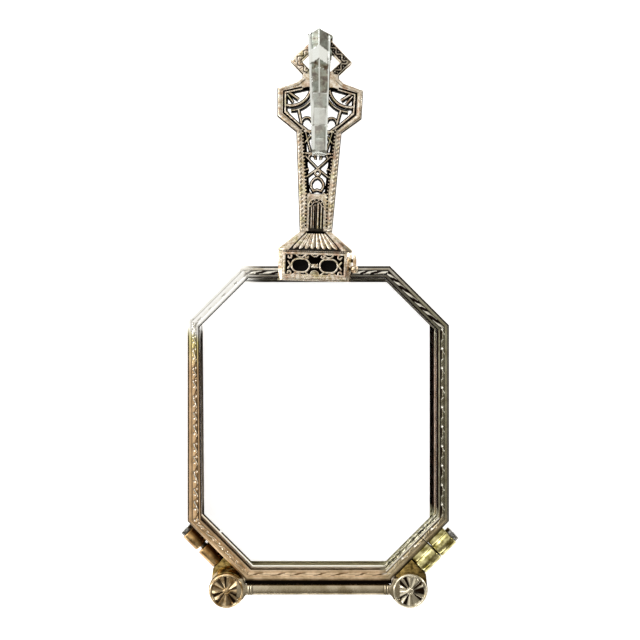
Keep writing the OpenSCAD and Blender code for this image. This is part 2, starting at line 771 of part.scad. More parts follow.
handle_front();
handle_back();
shoulder_cap();
block_case();
block_front_panel();
block_back_plate();
release_lever();
lever_pin();
catch_spring();
bail();
front_rim();
front_lens();
front_barrel_upper();
front_barrel_lower();
front_closing_screw();
front_hinge_drum();
front_hinge_spring();
front_pivot_pin();
front_pivot_washer();
bridge_bar();
rear_rim();
rear_lens();
rear_barrel_upper();
rear_barrel_lower();
rear_closing_screw();
rear_hinge_drum();
rear_hinge_spring();
rear_pivot_pin();
rear_pivot_washer();
rear_catch_tab();
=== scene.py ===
"""Looks of the folding lorgnette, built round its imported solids.

It lies face up: X runs to the right, Y towards the handle's end, Z towards the viewer.
Shapes are drawn in millimetres, in the frame of the rims or of the leaning handle, and are
brought to metres and to their place in the part when a piece is finished.
"""

import math

import bmesh
import bpy
from mathutils import Matrix, Vector


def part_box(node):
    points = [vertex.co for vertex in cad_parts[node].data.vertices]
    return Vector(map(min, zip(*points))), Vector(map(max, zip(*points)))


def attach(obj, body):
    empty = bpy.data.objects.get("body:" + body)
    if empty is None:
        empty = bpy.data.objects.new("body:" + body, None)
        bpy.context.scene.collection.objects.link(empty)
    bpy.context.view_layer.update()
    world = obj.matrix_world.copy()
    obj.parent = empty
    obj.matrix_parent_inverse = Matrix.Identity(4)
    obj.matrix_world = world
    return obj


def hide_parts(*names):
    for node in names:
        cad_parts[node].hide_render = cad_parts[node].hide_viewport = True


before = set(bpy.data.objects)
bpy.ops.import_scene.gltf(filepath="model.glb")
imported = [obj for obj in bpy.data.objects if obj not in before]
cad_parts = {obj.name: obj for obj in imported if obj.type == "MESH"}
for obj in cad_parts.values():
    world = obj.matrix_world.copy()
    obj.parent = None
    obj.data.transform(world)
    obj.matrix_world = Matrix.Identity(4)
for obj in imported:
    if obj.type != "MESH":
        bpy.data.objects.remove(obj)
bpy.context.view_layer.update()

# Sizes of the part as in its source, in millimetres, and the handle's lean in degrees
RIM_W, RIM_H, RIM_CORNER, RAIL_W = 32.8, 39.4, 7.4, 1.4
RIM_DEPTH, GROOVE_DEPTH, LENS_T, FRONT_Z, FRONT_TOP = 2.2, 0.4, 0.9, 2.5, 4.7
SPLIT_AT, FRONT_SPLIT, REAR_SPLIT = 3.8, 0.12, 0.4
HINGE_X, HINGE_Y, DRUM_R = 11.4355, -20.8, 2.25
DISC_Z, DISC_TOP, DISC_RAYS = 4.8, 5.3, 12
BAR_W, BAR_TOP, BAR_DEPTH, BAR_HALF = 1.0, 5.2, 1.8, 9.0355
BLOCK_W, BLOCK_H, PANEL_W, BLOCK_FRONT, PANEL_FRONT = 9.2, 3.75, 7.9, 5.2, 5.55
OVAL_LEN, OVAL_H, OVAL_X = 2.05, 1.45, 1.75
HANDLE_X, HANDLE_Y, HANDLE_LEAN, HANDLE_Z = -0.5, 17.8, 1.8, 3.1
SHAFT_V, CROSS_V, SIDE_V, TOP_V, NECK_V = 6.2, 18.7, 20.6, 24.1, 25.0
SHAFT_FOOT, SHAFT_TOP, CROSS_HALF, NECK_HALF = 1.95, 2.75, 5.3, 2.2
DIAMOND_V, DIAMOND_R, DIAMOND_HOLE, DIAMOND_CUT, POINT_V = 27.6, 3.87, 2.45, 0.87, 30.6
DIAMOND_FRONT, HOLE_FLOOR_V = 4.5, 26.4
BAIL_W, BAIL_FOOT_W, BAIL_TOP_V, BAIL_FOOT_V, BAIL_FRONT, BAIL_EDGE = (
    2.75, 1.8, 31.5717, 15.9717, 6.2, 5.85)
BAIL_PLATE_Z = 5.1
# How much longer the bail's face is than its solid, at the foot
BAIL_FOOT_MORE = 0.4
# How far the bail hangs to the side of the handle's middle, at its head and at its foot
BAIL_LEAN_TOP, BAIL_LEAN_FOOT = -0.37, 0.15

MM = 0.001
# The rims' middle, the frames that the rims and the leaning handle are drawn in, and the mirror
# for the rear rim
rims_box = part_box("front_rim")
MIDDLE_Y = -(rims_box[0].y + rims_box[1].y) / 2 / MM
RIMS = Matrix.Translation((0, -MIDDLE_Y, 0))
HANDLE = (
    RIMS
    @ Matrix.Translation((HANDLE_X, HANDLE_Y, 0))
    @ Matrix.Rotation(math.radians(-HANDLE_LEAN), 4, "Z")
)
MIRRORED = Matrix.Scale(-1, 4, (1, 0, 0))
# The body that the handle, the block and the front lens belong to
CARRIER = "handle_and_front_lens"


# Materials


def linear(colour):
    """A shader's linear colour, from an sRGB hex colour or a linear grey level."""
    if not isinstance(colour, str):
        return (colour, colour, colour, 1)
    parts = [int(colour[i : i + 2], 16) / 255 for i in (1, 3, 5)]
    return tuple(c / 12.92 if c <= 0.04045 else ((c + 0.055) / 1.055) ** 2.4 for c in parts) + (1,)


def add(tree, kind, links=None, stops=(), **settings):
    """A node with its settings. links gives what feeds its inputs, by name or number: another
    node, a socket, a value or a hex colour. stops are a colour ramp's: each one's position,
    then its hex colour or grey level."""
    node = tree.nodes.new(kind)
    for key, value in settings.items():
        if hasattr(node, key):
            setattr(node, key, value)
        else:
            node.inputs[key.replace("_", " ")].default_value = value
    for key, source in (links or {}).items():
        if hasattr(source, "outputs"):
            source = next(output for output in source.outputs if output.enabled)
        if isinstance(source, bpy.types.NodeSocket):
            tree.links.new(source, node.inputs[key])
        else:
            node.inputs[key].default_value = linear(source) if isinstance(source, str) else source
    if stops:
        items = node.color_ramp.elements
        while len(items) < len(stops):
            items.new(0.5)
        for item, (position, colour) in zip(items, stops):
            item.position, item.color = position, linear(colour)
    return node


# Settings of a node that lays one colour over another, and of one that multiplies the two
OVER = {"data_type": "RGBA"}
TIMES = {"data_type": "RGBA", "blend_type": "MULTIPLY"}


def new_material(name, **shader):
    """A material with one Principled shader, whose constant values sit on its own sockets."""
    material = bpy.data.materials.new(name)
    material.use_nodes = True
    bsdf = material.node_tree.nodes["Principled BSDF"]
    for key, value in shader.items():
        bsdf.inputs[key.replace("_", " ")].default_value = value
    return material, material.node_tree, bsdf


def in_mm(tree, at=(0, 0, 0), turn=0):
    """Object coordinates in millimetres, moved to a place on the piece and turned about Z."""
    where = add(tree, "ShaderNodeTexCoord")
    return add(tree, "ShaderNodeMapping",
               {"Vector": where.outputs["Object"], "Scale": (1 / MM,) * 3, "Location": at,
                "Rotation": (0, 0, math.radians(turn))}, vector_type="POINT")


# How far apart worn gold's scratches are, how deep they look, and how far painted shade
# reaches out of a corner, all in millimetres
SCRATCH_STEP, SCRATCH_DEPTH, CORNER_SHADE_REACH = 0.35, 0.01, 0.35


def worn_gold(name, pale, deep, patina_and_shade, roughness, patch_mm):
    """Solid gold alloy, worn soft: two tones in patches, fine hand-polish scratches, and a dark
    colour where the mesh attribute cut says: real oxidation in engraved cuts, and painted shade on
    the edges, walls and recesses that the meshes mark. Corners get painted shade too, darker the
    more closed in a point is. It gives the eye a bright shoulder beside each dark line. The
    scratches are drawn coarser than real ones, so that they show. Gives the material, its nodes,
    its shader and where oxidation and painted shade cover the alloy."""
    material, tree, bsdf = new_material(name, Metallic=1.0)
    where = in_mm(tree)
    patches = add(tree, "ShaderNodeTexNoise", {"Vector": where}, Scale=1 / patch_mm, Detail=4.0,
                  Roughness=0.6)
    patches = add(tree, "ShaderNodeValToRGB", {"Fac": patches}, [(0.36, 0.0), (0.64, 1.0)])
    alloy = add(tree, "ShaderNodeMix", {0: patches, 6: pale, 7: deep}, **OVER)
    stretched = add(tree, "ShaderNodeMapping", {"Vector": where, "Scale": (1, 9, 1)})
    scratches = add(tree, "ShaderNodeTexNoise", {"Vector": stretched}, Scale=1 / SCRATCH_STEP,
                    Detail=3.0)
    # Painted shade: the more closely nearby surfaces close a point in, the darker it is painted
    corners = add(tree, "ShaderNodeAmbientOcclusion", samples=6, Distance=CORNER_SHADE_REACH * MM)
    corners = add(tree, "ShaderNodeValToRGB", {"Fac": corners.outputs["AO"]},
                  [(0.25, 1.0), (0.8, 0.0)])
    # The mesh's dark marks: oxidation in engraved cuts, and painted shade on marked edges, walls
    # and recesses
    cuts = add(tree, "ShaderNodeAttribute", attribute_name="cut").outputs["Fac"]
    dark = add(tree, "ShaderNodeMath", {0: cuts, 1: corners}, operation="MAXIMUM")
    oxide_and_shade = add(tree, "ShaderNodeMix", {0: dark, 6: alloy, 7: patina_and_shade}, **OVER)
    tree.links.new(oxide_and_shade.outputs[2], bsdf.inputs["Base Color"])
    rough = add(tree, "ShaderNodeMapRange", {"Value": scratches}, To_Min=roughness - 0.06,
                To_Max=roughness + 0.12)
    rough = add(tree, "ShaderNodeMath", {0: dark, 1: 0.3, 2: rough}, operation="MULTIPLY_ADD")
    tree.links.new(rough.outputs[0], bsdf.inputs["Roughness"])
    bump = add(tree, "ShaderNodeBump", {"Height": scratches}, Strength=0.12,
               Distance=SCRATCH_DEPTH * MM)
    tree.links.new(bump.outputs[0], bsdf.inputs["Normal"])
    return material, tree, bsdf, oxide_and_shade


def retoned(metal, factor, colour, settings):
    """Brings a colour into a worn gold's alloy, under its oxidation and painted shade, and gives
    the material.
    """
    material, tree, _, oxide_and_shade = metal
    alloy = oxide_and_shade.inputs[6]
    tone = add(tree, "ShaderNodeMix", {0: factor, 6: alloy.links[0].from_socket, 7: colour},
               **settings)
    tree.links.new(tone.outputs[2], alloy)
    return material


# Making pieces


def linked(name, data):
    """A new object in the scene."""
    made = bpy.data.objects.new(name, data)
    bpy.context.scene.collection.objects.link(made)
    return made


def baked(holder):
    """The mesh that an object's curve or nodes make, without the object."""
    bpy.context.view_layer.update()
    shown = holder.evaluated_get(bpy.context.evaluated_depsgraph_get())
    mesh = bpy.data.meshes.new_from_object(shown)
    bpy.data.objects.remove(holder)
    mesh.materials.clear()
    return mesh


def finished(name, mesh, body, material, place=RIMS, replaces=(), smooth=35, scale=MM):
    """Takes a mesh drawn in millimetres to its place and makes it a piece of the part."""
    mesh.transform(Matrix.Scale(scale, 4) @ place)
    if place.determinant() < 0:
        mesh.flip_normals()
    mesh.materials.append(material)
    mesh.shade_smooth()
    mesh.set_sharp_from_angle(angle=math.radians(smooth))
    made = linked(name, mesh)
    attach(made, body)
    if replaces:
        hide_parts(*replaces)


def left_plain(node, material):
    """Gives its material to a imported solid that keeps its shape."""
    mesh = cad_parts[node].data
    mesh.materials.clear()
    mesh.materials.append(material)


def with_marks(mesh, name, values):
    """Gives each point of a mesh its grey level, under this name, for the materials."""
    mesh.attributes.new(name, "FLOAT", "POINT").data.foreach_set("value", values)


def lofted(name, rings, caps=True):
    """A closed skin over rings of points: each one's x, y and z and its dark mark, 0 to 1, of an
    engraved cut or of painted shade.
    """
    count = len(rings[0])
    points = [point for ring in rings for point in ring]
    faces = []
    for i in range(len(rings) - 1):
        for j in range(count):
            k = (j + 1) % count
            faces.append((i * count + j, i * count + k, (i + 1) * count + k, (i + 1) * count + j))
    if caps:
        faces.append(tuple(reversed(range(count))))
        faces.append(tuple(range((len(rings) - 1) * count, len(rings) * count)))
    mesh = bpy.data.meshes.new(name)
    mesh.from_pydata([point[:3] for point in points], [], faces)
    with_marks(mesh, "cut", [point[3] for point in points])
    return mesh


def outwards(mesh, merge=0.0):
    """Turns every face of a closed mesh outwards, once points nearer than merge are one."""
    bm = bmesh.new()
    bm.from_mesh(mesh)
    if merge:
        bmesh.ops.remove_doubles(bm, verts=bm.verts, dist=merge)
    bmesh.ops.recalc_face_normals(bm, faces=bm.faces)
    bm.to_mesh(mesh)
    bm.free()
    return mesh


def joined(name, meshes):
    """Several meshes as one, with their dark marks, of cuts and of painted shade, kept."""
    bm = bmesh.new()
    bm.verts.layers.float.new("cut")
    for mesh in meshes:
        start = len(bm.verts)
        bm.from_mesh(mesh)
        bm.verts.ensure_lookup_table()
        layer = bm.verts.layers.float["cut"]
        for vert, mark in zip(bm.verts[start:], mesh.attributes["cut"].data):
            vert[layer] = mark.value
    result = bpy.data.meshes.new(name)
    bm.to_mesh(result)
    bm.free()
    return result


def softened(node, width, angle=30):
    """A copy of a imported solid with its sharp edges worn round, in metres."""
    bm = bmesh.new()
    bm.from_mesh(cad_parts[node].data)
    bmesh.ops.remove_doubles(bm, verts=bm.verts, dist=2e-6)
    bmesh.ops.dissolve_limit(bm, angle_limit=math.radians(1), verts=bm.verts, edges=bm.edges)
    sharp = [e for e in bm.edges if len(e.link_faces) == 2
             and e.calc_face_angle(0) > math.radians(angle)]
    bmesh.ops.bevel(bm, geom=sharp, offset=width * MM, segments=2, profile=0.5, affect="EDGES",
                    clamp_overlap=True)
    bmesh.ops.triangulate(bm, faces=bm.faces)
    mesh = bpy.data.meshes.new(node + "_worn")
    bm.to_mesh(mesh)
    bm.free()
    return mesh


def worn_piece(node, width, body, material):
    """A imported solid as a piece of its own, with its sharp edges worn round."""
    finished(f"{node}_worn", softened(node, width), body, material, Matrix.Identity(4),
             [node], scale=1)


# Rims


def smooth_step(low, high, value):
    """0 up to low, 1 from high on, and a soft rise between them."""
    t = min(1.0, max(0.0, (value - low) / (high - low)))
    return t * t * (3 - 2 * t)


def tent(distance, reach):
    """1 on a line, falling to 0 at this reach on either side of it."""
    return max(0.0, 1 - abs(distance) / reach)


def octagon(insets):
    """Corners of the rims' octagon from the lower right one round, each side drawn in by its
    own inset: right, upper right, top and so on."""
    diagonal = (RIM_W / 2 + RIM_H / 2 - RIM_CORNER) / math.sqrt(2)
    outs = [out - inset for out, inset in zip((RIM_W / 2, diagonal, RIM_H / 2, diagonal) * 2,
                                              insets)]
    corners = []
    for side in range(8):
        before, turn = outs[side - 1], math.radians(45 * (side - 1))
        over = outs[side] * math.sqrt(2) - before
        corners.append((before * math.cos(turn) - over * math.sin(turn),
                        before * math.sin(turn) + over * math.cos(turn)))
    return corners


# The engraved band of a rail, by inset from the outer edge, and the depth of its engraving
BAND_OUT, BAND_IN, LEAF_DEPTH = 0.58, 1.06, 0.08
# One repeat of the pattern on each side of the octagon, from the right side round
LEAF_PITCH = (2.44, 1.75, 1.6, 2.2, 1.9, 1.7, 2.6, 2.6)
# The upper left side is broader than the others, by this much at its outer edge
BROAD_SIDE, BROAD_BY = 3, 0.6
# On each side of the octagon, how far a rail's inner edge stands in, and its wall's foot more
FRONT_INNER = ((0, 0), (0, 0), (0, 0), (0, -0.1), (0, -0.2), (0, 0.1), (0, 0), (0, 0))
REAR_INNER = ((0.22, 0.3), (0.16, -0.4), (0.15, 0.3), (-0.2, -0.3), (-0.05, 0), (0.06, -0.4),
              (-0.05, -0.1), (0, -0.4))
# One side of each rail stands in by a changing amount: the side of its mesh, then the amount at
# the side's first corner and at its last
FRONT_SLANT, REAR_SLANT = (4, 0.04, 0.36), (0, 0.2, 0.0)


def dot_and_stroke(along, across):
    """The right side's pattern: a slanted stroke that ends in a round dot, and a dark dash."""
    middle = 0.95 - 0.75 * across + 0.09 * math.sin(2 * math.pi * across)
    stroke = tent(along - middle, 0.1 + 0.06 * across)
    dot = max(0.0, 1.3 - math.hypot(along - 0.25, 0.6 * across - 0.5) / 0.2)
    back = max(0.0, 0.8 - abs(along - 1.35 - 0.5 * across) / 0.09) * smooth_step(0.2, 0.5, across)
    dash = max(0.0, 1.5 - abs(across - 0.95) / 0.28)
    dash *= smooth_step(0.4, 0.5, along) * (1 - smooth_step(1.55, 1.7, along))
    hatch = 0.35 * max(0.0, math.sin((along - across * 0.5) * 2 * math.pi / 0.35))
    return max(stroke, dot, back), max(dash, hatch * (1 - dash))


def nested_scrolls(along, across, pitch):
    """The pattern at the top and upper right: long S-shaped strokes, each inside the next, that
    swell to a leaf in the middle."""
    bright = 0.0
    for place in (along - pitch / 2, along - 1.5 * pitch, along + pitch / 2):
        if abs(place) < 1.05:
            curve = 0.5 + 0.45 * math.sin(math.pi * place / 2.1)
            here = 1 - smooth_step(0.85, 1.05, abs(place))
            swell = 0.34 * tent(place - 0.15, 0.45) + 0.25 - 0.1 * abs(place)
            bright = max(bright, here * (1 - abs(across - curve) / swell))
    return bright, 1 - 2 * bright


def waved_vine(along, across, pitch):
    """The left side's pattern: a waved stem with a short leaf in each bend."""
    turn = 2 * math.pi * along / pitch
    stem = tent(across - 0.5 - 0.3 * math.sin(turn), 0.15)
    leaf = tent(math.hypot(across - 0.5 + 0.25 * math.sin(turn + 0.4),
                           0.45 * math.cos(turn + 0.4)), 0.22)
    shadow = tent(across - 0.72 - 0.3 * math.sin(turn), 0.12)
    return max(stem * smooth_step(-0.7, -0.2, math.cos(turn)), leaf), shadow


def leaf_cut(side, along, inset):
    """Depths, 0 to 1, of the bright marks, which the rails' material paints with a glint, and of
    those that stay dark.
    """
    across = (inset - BAND_OUT) / (BAND_IN - BAND_OUT)
    if not 0 < across < 1:
        return 0.0, 0.0
    pitch = LEAF_PITCH[side]
    if side == 0:
        along = -along
    jitter = 0.22 * math.sin(along * 1.3 + side) if side else 0
    along = (along + jitter) % pitch
    if side in (0, 7):
        bright, dark = dot_and_stroke(along, across)
    elif side in (1, 2):
        bright, dark = nested_scrolls(along, across, pitch)
    elif side == 3:
        bright, dark = 0.0, tent(across - 0.75, 0.15) * (along < 0.5)
    elif side == 6:
        bright, dark = nested_scrolls(along, 0.5 + 1.3 * (across - 0.5), pitch)[0], 0.0
    else:
        bright, dark = waved_vine(along, across, pitch)
    ends = math.sin(math.pi * across) ** 0.3
    return min(1.0, max(0.0, 1.5 * bright * ends)), min(1.0, max(0.0, 1.6 * dark - bright))


def rail_profile(base):
    """(inset, height, zone) round a rail's section and its lens groove. Zones: the face (outer
    wall and back), the edge, marked dark as painted shade, the smooth line, the engraved band, the
    groove, also marked dark as painted shade, and the lip beside it, and the inner wall above the
    lens and its seat below."""
    top, middle = base + RIM_DEPTH, base + RIM_DEPTH / 2
    half_groove = LENS_T / 2 + 0.03
    groove_at = RAIL_W - GROOVE_DEPTH
    outer = [(0.1, base, "face"), (0.02, base + 0.04, "face"), (0, base + 0.12, "face"),
             (0, top - 0.35, "face"), (0.03, top - 0.31, "edge"), (0.12, top - 0.2, "edge"),
             (0.25, top - 0.07, "edge"), (0.28, top - 0.01, "line"), (0.39, top, "line"),
             (0.5, top - 0.01, "line"), (0.54, top - 0.07, "edge")]
    steps = 14
    band = []
    for i in range(steps + 1):
        inset = BAND_OUT + (BAND_IN - BAND_OUT) * i / steps
        crown = 0.05 * math.sin(math.pi * i / steps) - 0.02 * (1 - i / steps)
        band.append((inset, top - 0.05 + crown, "band"))
    inner = [(1.08, top - 0.12, "groove"), (1.13, top - 0.09, "groove"),
             (1.16, top - 0.01, "lip"), (1.22, top, "lip"), (1.28, top - 0.01, "lip"),
             (1.33, top - 0.06, "edge"), (RAIL_W, top - 0.16, "wall"),
             (RAIL_W, middle + half_groove, "wall"), (groove_at, middle + half_groove, "edge"),
             (groove_at, middle - half_groove, "edge"), (RAIL_W, middle - half_groove, "seat"),
             (RAIL_W, base + 0.12, "seat"), (RAIL_W - 0.1, base, "face")]
    return outer + band + inner


def rail_corners(profile, base, inner, broad, slant):
    """For each point of a rail's section, the octagon's corners, and the first one once more."""
    slanted, *stand_ins = slant
    corners = []
    for inset, z, _ in profile:
        near, low = smooth_step(1.0, 1.3, inset), 1 - (z - base) / RIM_DEPTH
        insets = [inset + near * (ledge + foot * low) for ledge, foot in inner]
        insets[broad] -= BROAD_BY * (1 - 0.65 * inset / RAIL_W)
        reach = smooth_step(0.3, 0.9, inset)
        outlines = []
        for stand_in in stand_ins:
            insets[slanted] += reach * stand_in
            outlines.append(octagon(insets))
            insets[slanted] -= reach * stand_in
        first, last = outlines
        first[slanted + 1] = last[slanted + 1]
        corners.append(first + first[:1])
    return corners


def broad_tilt(below_top, inset, share):
    """How much lower the broad side's top is, nearly flat and falling to its outer edge, for a
    point of the section at a share of the side's length."""
    ends = smooth_step(0, 0.08, share) * (1 - smooth_step(0.92, 1, share))
    flat = below_top * (0.5 if BAND_OUT <= inset <= BAND_IN else 0.9)
    return ends * (0.09 * (RAIL_W - inset) - flat)


def rim_mesh(name, base, split, step, inner, broad, slant):
    """A rail swept round the octagon from one face of its split to the other."""
    profile = rail_profile(base)
    edge = octagon([0] * 8)
    edge.append(edge[0])
    corners = rail_corners(profile, base, inner, broad, slant)
    diagonal = RIM_CORNER * math.sqrt(2)
    opening = 1 - SPLIT_AT / diagonal
    half = split / 2 / diagonal
    runs = [(7, opening + half, 1)] + [(k, 0, 1) for k in range(7)] + [(7, 0, opening - half)]
    rings = []
    marks = {mark: [] for mark in ("band", "leaf", "dash", "wall", "face", "seat")}
    for side, start, end in runs:
        (x0, y0), (x1, y1) = edge[side], edge[side + 1]
        length = math.hypot(x1 - x0, y1 - y0)
        count = max(2, round(length * (end - start) / step))
        closes = side == 7 and start == 0
        for i in range(count + closes):
            t = start + (end - start) * i / count
            ring = []
            for (inset, z, zone), corner in zip(profile, corners):
                (ax, ay), (bx, by) = corner[side], corner[side + 1]
                x, y = ax + (bx - ax) * t, ay + (by - ay) * t
                along = ((x - x0) * (x1 - x0) + (y - y0) * (y1 - y0)) / length
                bright, dark = leaf_cut(side, along, inset) if zone == "band" else (0.0, 0.0)
                depth = LEAF_DEPTH * (dark * 0.7 if side in (1, 2) else max(bright, dark))
                below_top = base + RIM_DEPTH - z
                if side == broad and zone not in ("wall", "seat") and below_top < 0.15:
                    depth += broad_tilt(below_top, inset, t)
                # The edge and groove zones carry the dark mark: painted shade
                ring.append((x, y, z - depth, float(zone in ("edge", "groove"))))
                marks["band"].append({"band": 1.0, "lip": 0.6}.get(zone, 0.0))
                # The lower right side's lip is marked for the painted glint, like the bright
                # strokes
                marks["leaf"].append(1.0 if zone == "lip" and side == 7 else bright)
                marks["dash"].append(dark)
                for mark in ("wall", "face", "seat"):
                    marks[mark].append(float(zone == mark))
            rings.append(ring)
    mesh = lofted(name, rings)
    for mark, values in marks.items():
        with_marks(mesh, mark, values)
    return outwards(mesh)


def round_the_rims(tree, *stops):
    """A colour or grey level that changes round the rims. Each stop is one or two places, in
    degrees from the right side, and the value there."""
    where = in_mm(tree, at=(0, MIDDLE_Y, 0))
    turn = add(tree, "ShaderNodeTexGradient", {"Vector": where}, gradient_type="RADIAL")
    return add(tree, "ShaderNodeValToRGB", {"Fac": turn.outputs["Fac"]},
               [(at / 360 + 0.5, value) for *places, value in stops for at in places])


# How far apart the flecks on the lower right walls are, in millimetres
FLECK_STEP = 0.42
# Tones of the rails: their gold's colour with painted reflection in it, the near-white painted
# highlights and glints, and the dark of painted shade on bands and walls
PEACH, PALE, STRAW, GREEN, BRONZE = "#e9c59a", "#fffefa", "#f2e8a4", "#b6b29a", "#f4efe4"
CREAM, TAUPE, NEAR_WHITE, BUTTER = "#ffe6c4", "#d2c3a2", "#fffbee", "#fbf6d4"
UMBER, BROWN_MARK, OLIVE = "#1d100a", "#6a4e2c", "#3d3a1c"


def rim_gold(name, alloy_and_reflection_tones, walls, polished_walls, seats=None):
    """Cast gold rail, drawn and hand-engraved. Its gold's tone changes round the rims with painted
    reflection in it: peach on the left and below, nearly white at the upper left as a painted
    highlight, grey-green on the right. A painted dark reflection fills the band on the right and
    at the top, where the graver's strokes get a painted glint; the strokes are brown below, and
    the edges are painted dark as shade. The walls' colours are painted shade and painted
    reflection, matt except where they are polished to mirror the table, with olive flecks at the
    lower right. seats are the colours of the wall under the lens, with a painted highlight as a
    bright line below and at the lower left; without them it is like the wall above."""
    material, tree, bsdf, oxide_and_shade = worn_gold(name, "#ffffff", "#d8d2c6", "#150d06", 0.17, 1.1)
    band, leaf, dash, wall, face, seat = (
        add(tree, "ShaderNodeAttribute", attribute_name=mark).outputs["Fac"]
        for mark in ("band", "leaf", "dash", "wall", "face", "seat"))
    # Painted dark reflection: how nearly black the engraved band is filled, round the rims
    painted_dark_band = round_the_rims(
        tree, (-40, 0.0), (-36, 0.34), (-20, 30, 0.38), (45, 0.6), (60, 110, 0.95),
        (116, 145, 0.0), (155, 0.12))
    dark_marks = round_the_rims(
        tree, (-180, 0.55), (-145, 0.5), (-130, 0.2), (-110, -60, 0.15), (-41, 0.5),
        (-36, 110, 1.0), (115, 0.5), (128, 0.1), (143, 0.12), (148, 0.55))
    # Painted shade on the edges and in corners: how strong it is round the rims
    painted_edge_shade = round_the_rims(
        tree, (-180, -145, 0.93), (-130, 0.15), (-62, 0.12), (-42, 0.6), (-36, 110, 1.0),
        (116, 143, 0.03), (146, 0.93))
    # Painted glint on the bright strokes and the lower right lip: nearly white, brown below
    painted_glint = round_the_rims(
        tree, (-180, -125, NEAR_WHITE), (-115, -67, BROWN_MARK), (-65, NEAR_WHITE))
    # Where the gold's patches show: hardly at the upper left, which is painted as a clean white
    # highlight
    worn = round_the_rims(tree, (113, 1.0), (116, 143, 0.15), (146, 1.0))
    # The gold's tone round the rims, with painted reflection in it
    alloy = round_the_rims(tree, *alloy_and_reflection_tones)
    patches = oxide_and_shade.inputs[6].links[0].from_socket
    alloy = add(tree, "ShaderNodeMix", {0: worn, 6: alloy, 7: patches}, **TIMES)
    alloy = add(tree, "ShaderNodeMix", {0: face, 6: alloy, 7: "#a8946c"}, **TIMES)
    filled = add(tree, "ShaderNodeMath", {0: band, 1: painted_dark_band}, operation="MULTIPLY")
    alloy = add(tree, "ShaderNodeMix", {0: filled, 6: alloy, 7: "#17170f"}, **OVER)
    strokes = add(tree, "ShaderNodeMath", {0: dash, 1: dark_marks}, operation="MULTIPLY")
    alloy = add(tree, "ShaderNodeMix", {0: strokes, 6: alloy, 7: UMBER}, **OVER)
    tree.links.new(alloy.outputs[2], oxide_and_shade.inputs[6])
    dark = oxide_and_shade.inputs[0].links[0].from_socket
    dark = add(tree, "ShaderNodeMath", {0: dark, 1: painted_edge_shade}, operation="MULTIPLY")
    tree.links.new(dark.outputs[0], oxide_and_shade.inputs[0])
    colour = add(tree, "ShaderNodeMix", {0: leaf, 6: oxide_and_shade, 7: painted_glint}, **OVER)

    flecks = add(tree, "ShaderNodeTexNoise", {"Vector": in_mm(tree)}, Scale=1 / FLECK_STEP)
    flecks = add(tree, "ShaderNodeValToRGB", {"Fac": flecks}, [(0.47, 0.0), (0.53, 0.92)])
    flecked = round_the_rims(tree, (-66, 0.0), (-64, -38.5, 1.0), (-37.5, 0.0))
    flecks = add(tree, "ShaderNodeMath", {0: flecks, 1: flecked}, operation="MULTIPLY")
    # Seats and walls: the dark tones are painted shade, the pale ones painted highlight and
    # reflection
    if seats:
        tone = round_the_rims(tree, *seats)
        tone = add(tree, "ShaderNodeMix", {0: flecks, 6: tone, 7: OLIVE}, **OVER)
        colour = add(tree, "ShaderNodeMix", {0: seat, 6: colour, 7: tone}, **OVER)
    else:
        wall = add(tree, "ShaderNodeMath", {0: wall, 1: seat}, operation="ADD")
    tone = round_the_rims(tree, *walls)
    tone = add(tree, "ShaderNodeMix", {0: flecks, 6: tone, 7: OLIVE}, **OVER)
    colour = add(tree, "ShaderNodeMix", {0: wall, 6: colour, 7: tone}, **OVER)
    tree.links.new(colour.outputs[2], bsdf.inputs["Base Color"])

    polish = round_the_rims(tree, *polished_walls)
    unpolished = add(tree, "ShaderNodeMath", {0: 1.0, 1: polish}, operation="SUBTRACT")
    dull = add(tree, "ShaderNodeMath", {0: wall, 1: unpolished}, operation="MULTIPLY")
    metallic = add(tree, "ShaderNodeMath", {0: 1.0, 1: dull}, operation="SUBTRACT")
    tree.links.new(metallic.outputs[0], bsdf.inputs["Metallic"])
    bsdf.inputs["Specular IOR Level"].default_value = 0.0
    satin = round_the_rims(tree, (-120, 0.0), (-110, 0.22), (-62, 0.26), (-50, 0.0))
    more = add(tree, "ShaderNodeMath", {0: satin, 1: dull}, operation="ADD")
    rough = bsdf.inputs["Roughness"].links[0].from_socket
    rough = add(tree, "ShaderNodeMath", {0: rough, 1: more}, operation="ADD")
    tree.links.new(rough.outputs[0], bsdf.inputs["Roughness"])
    return material


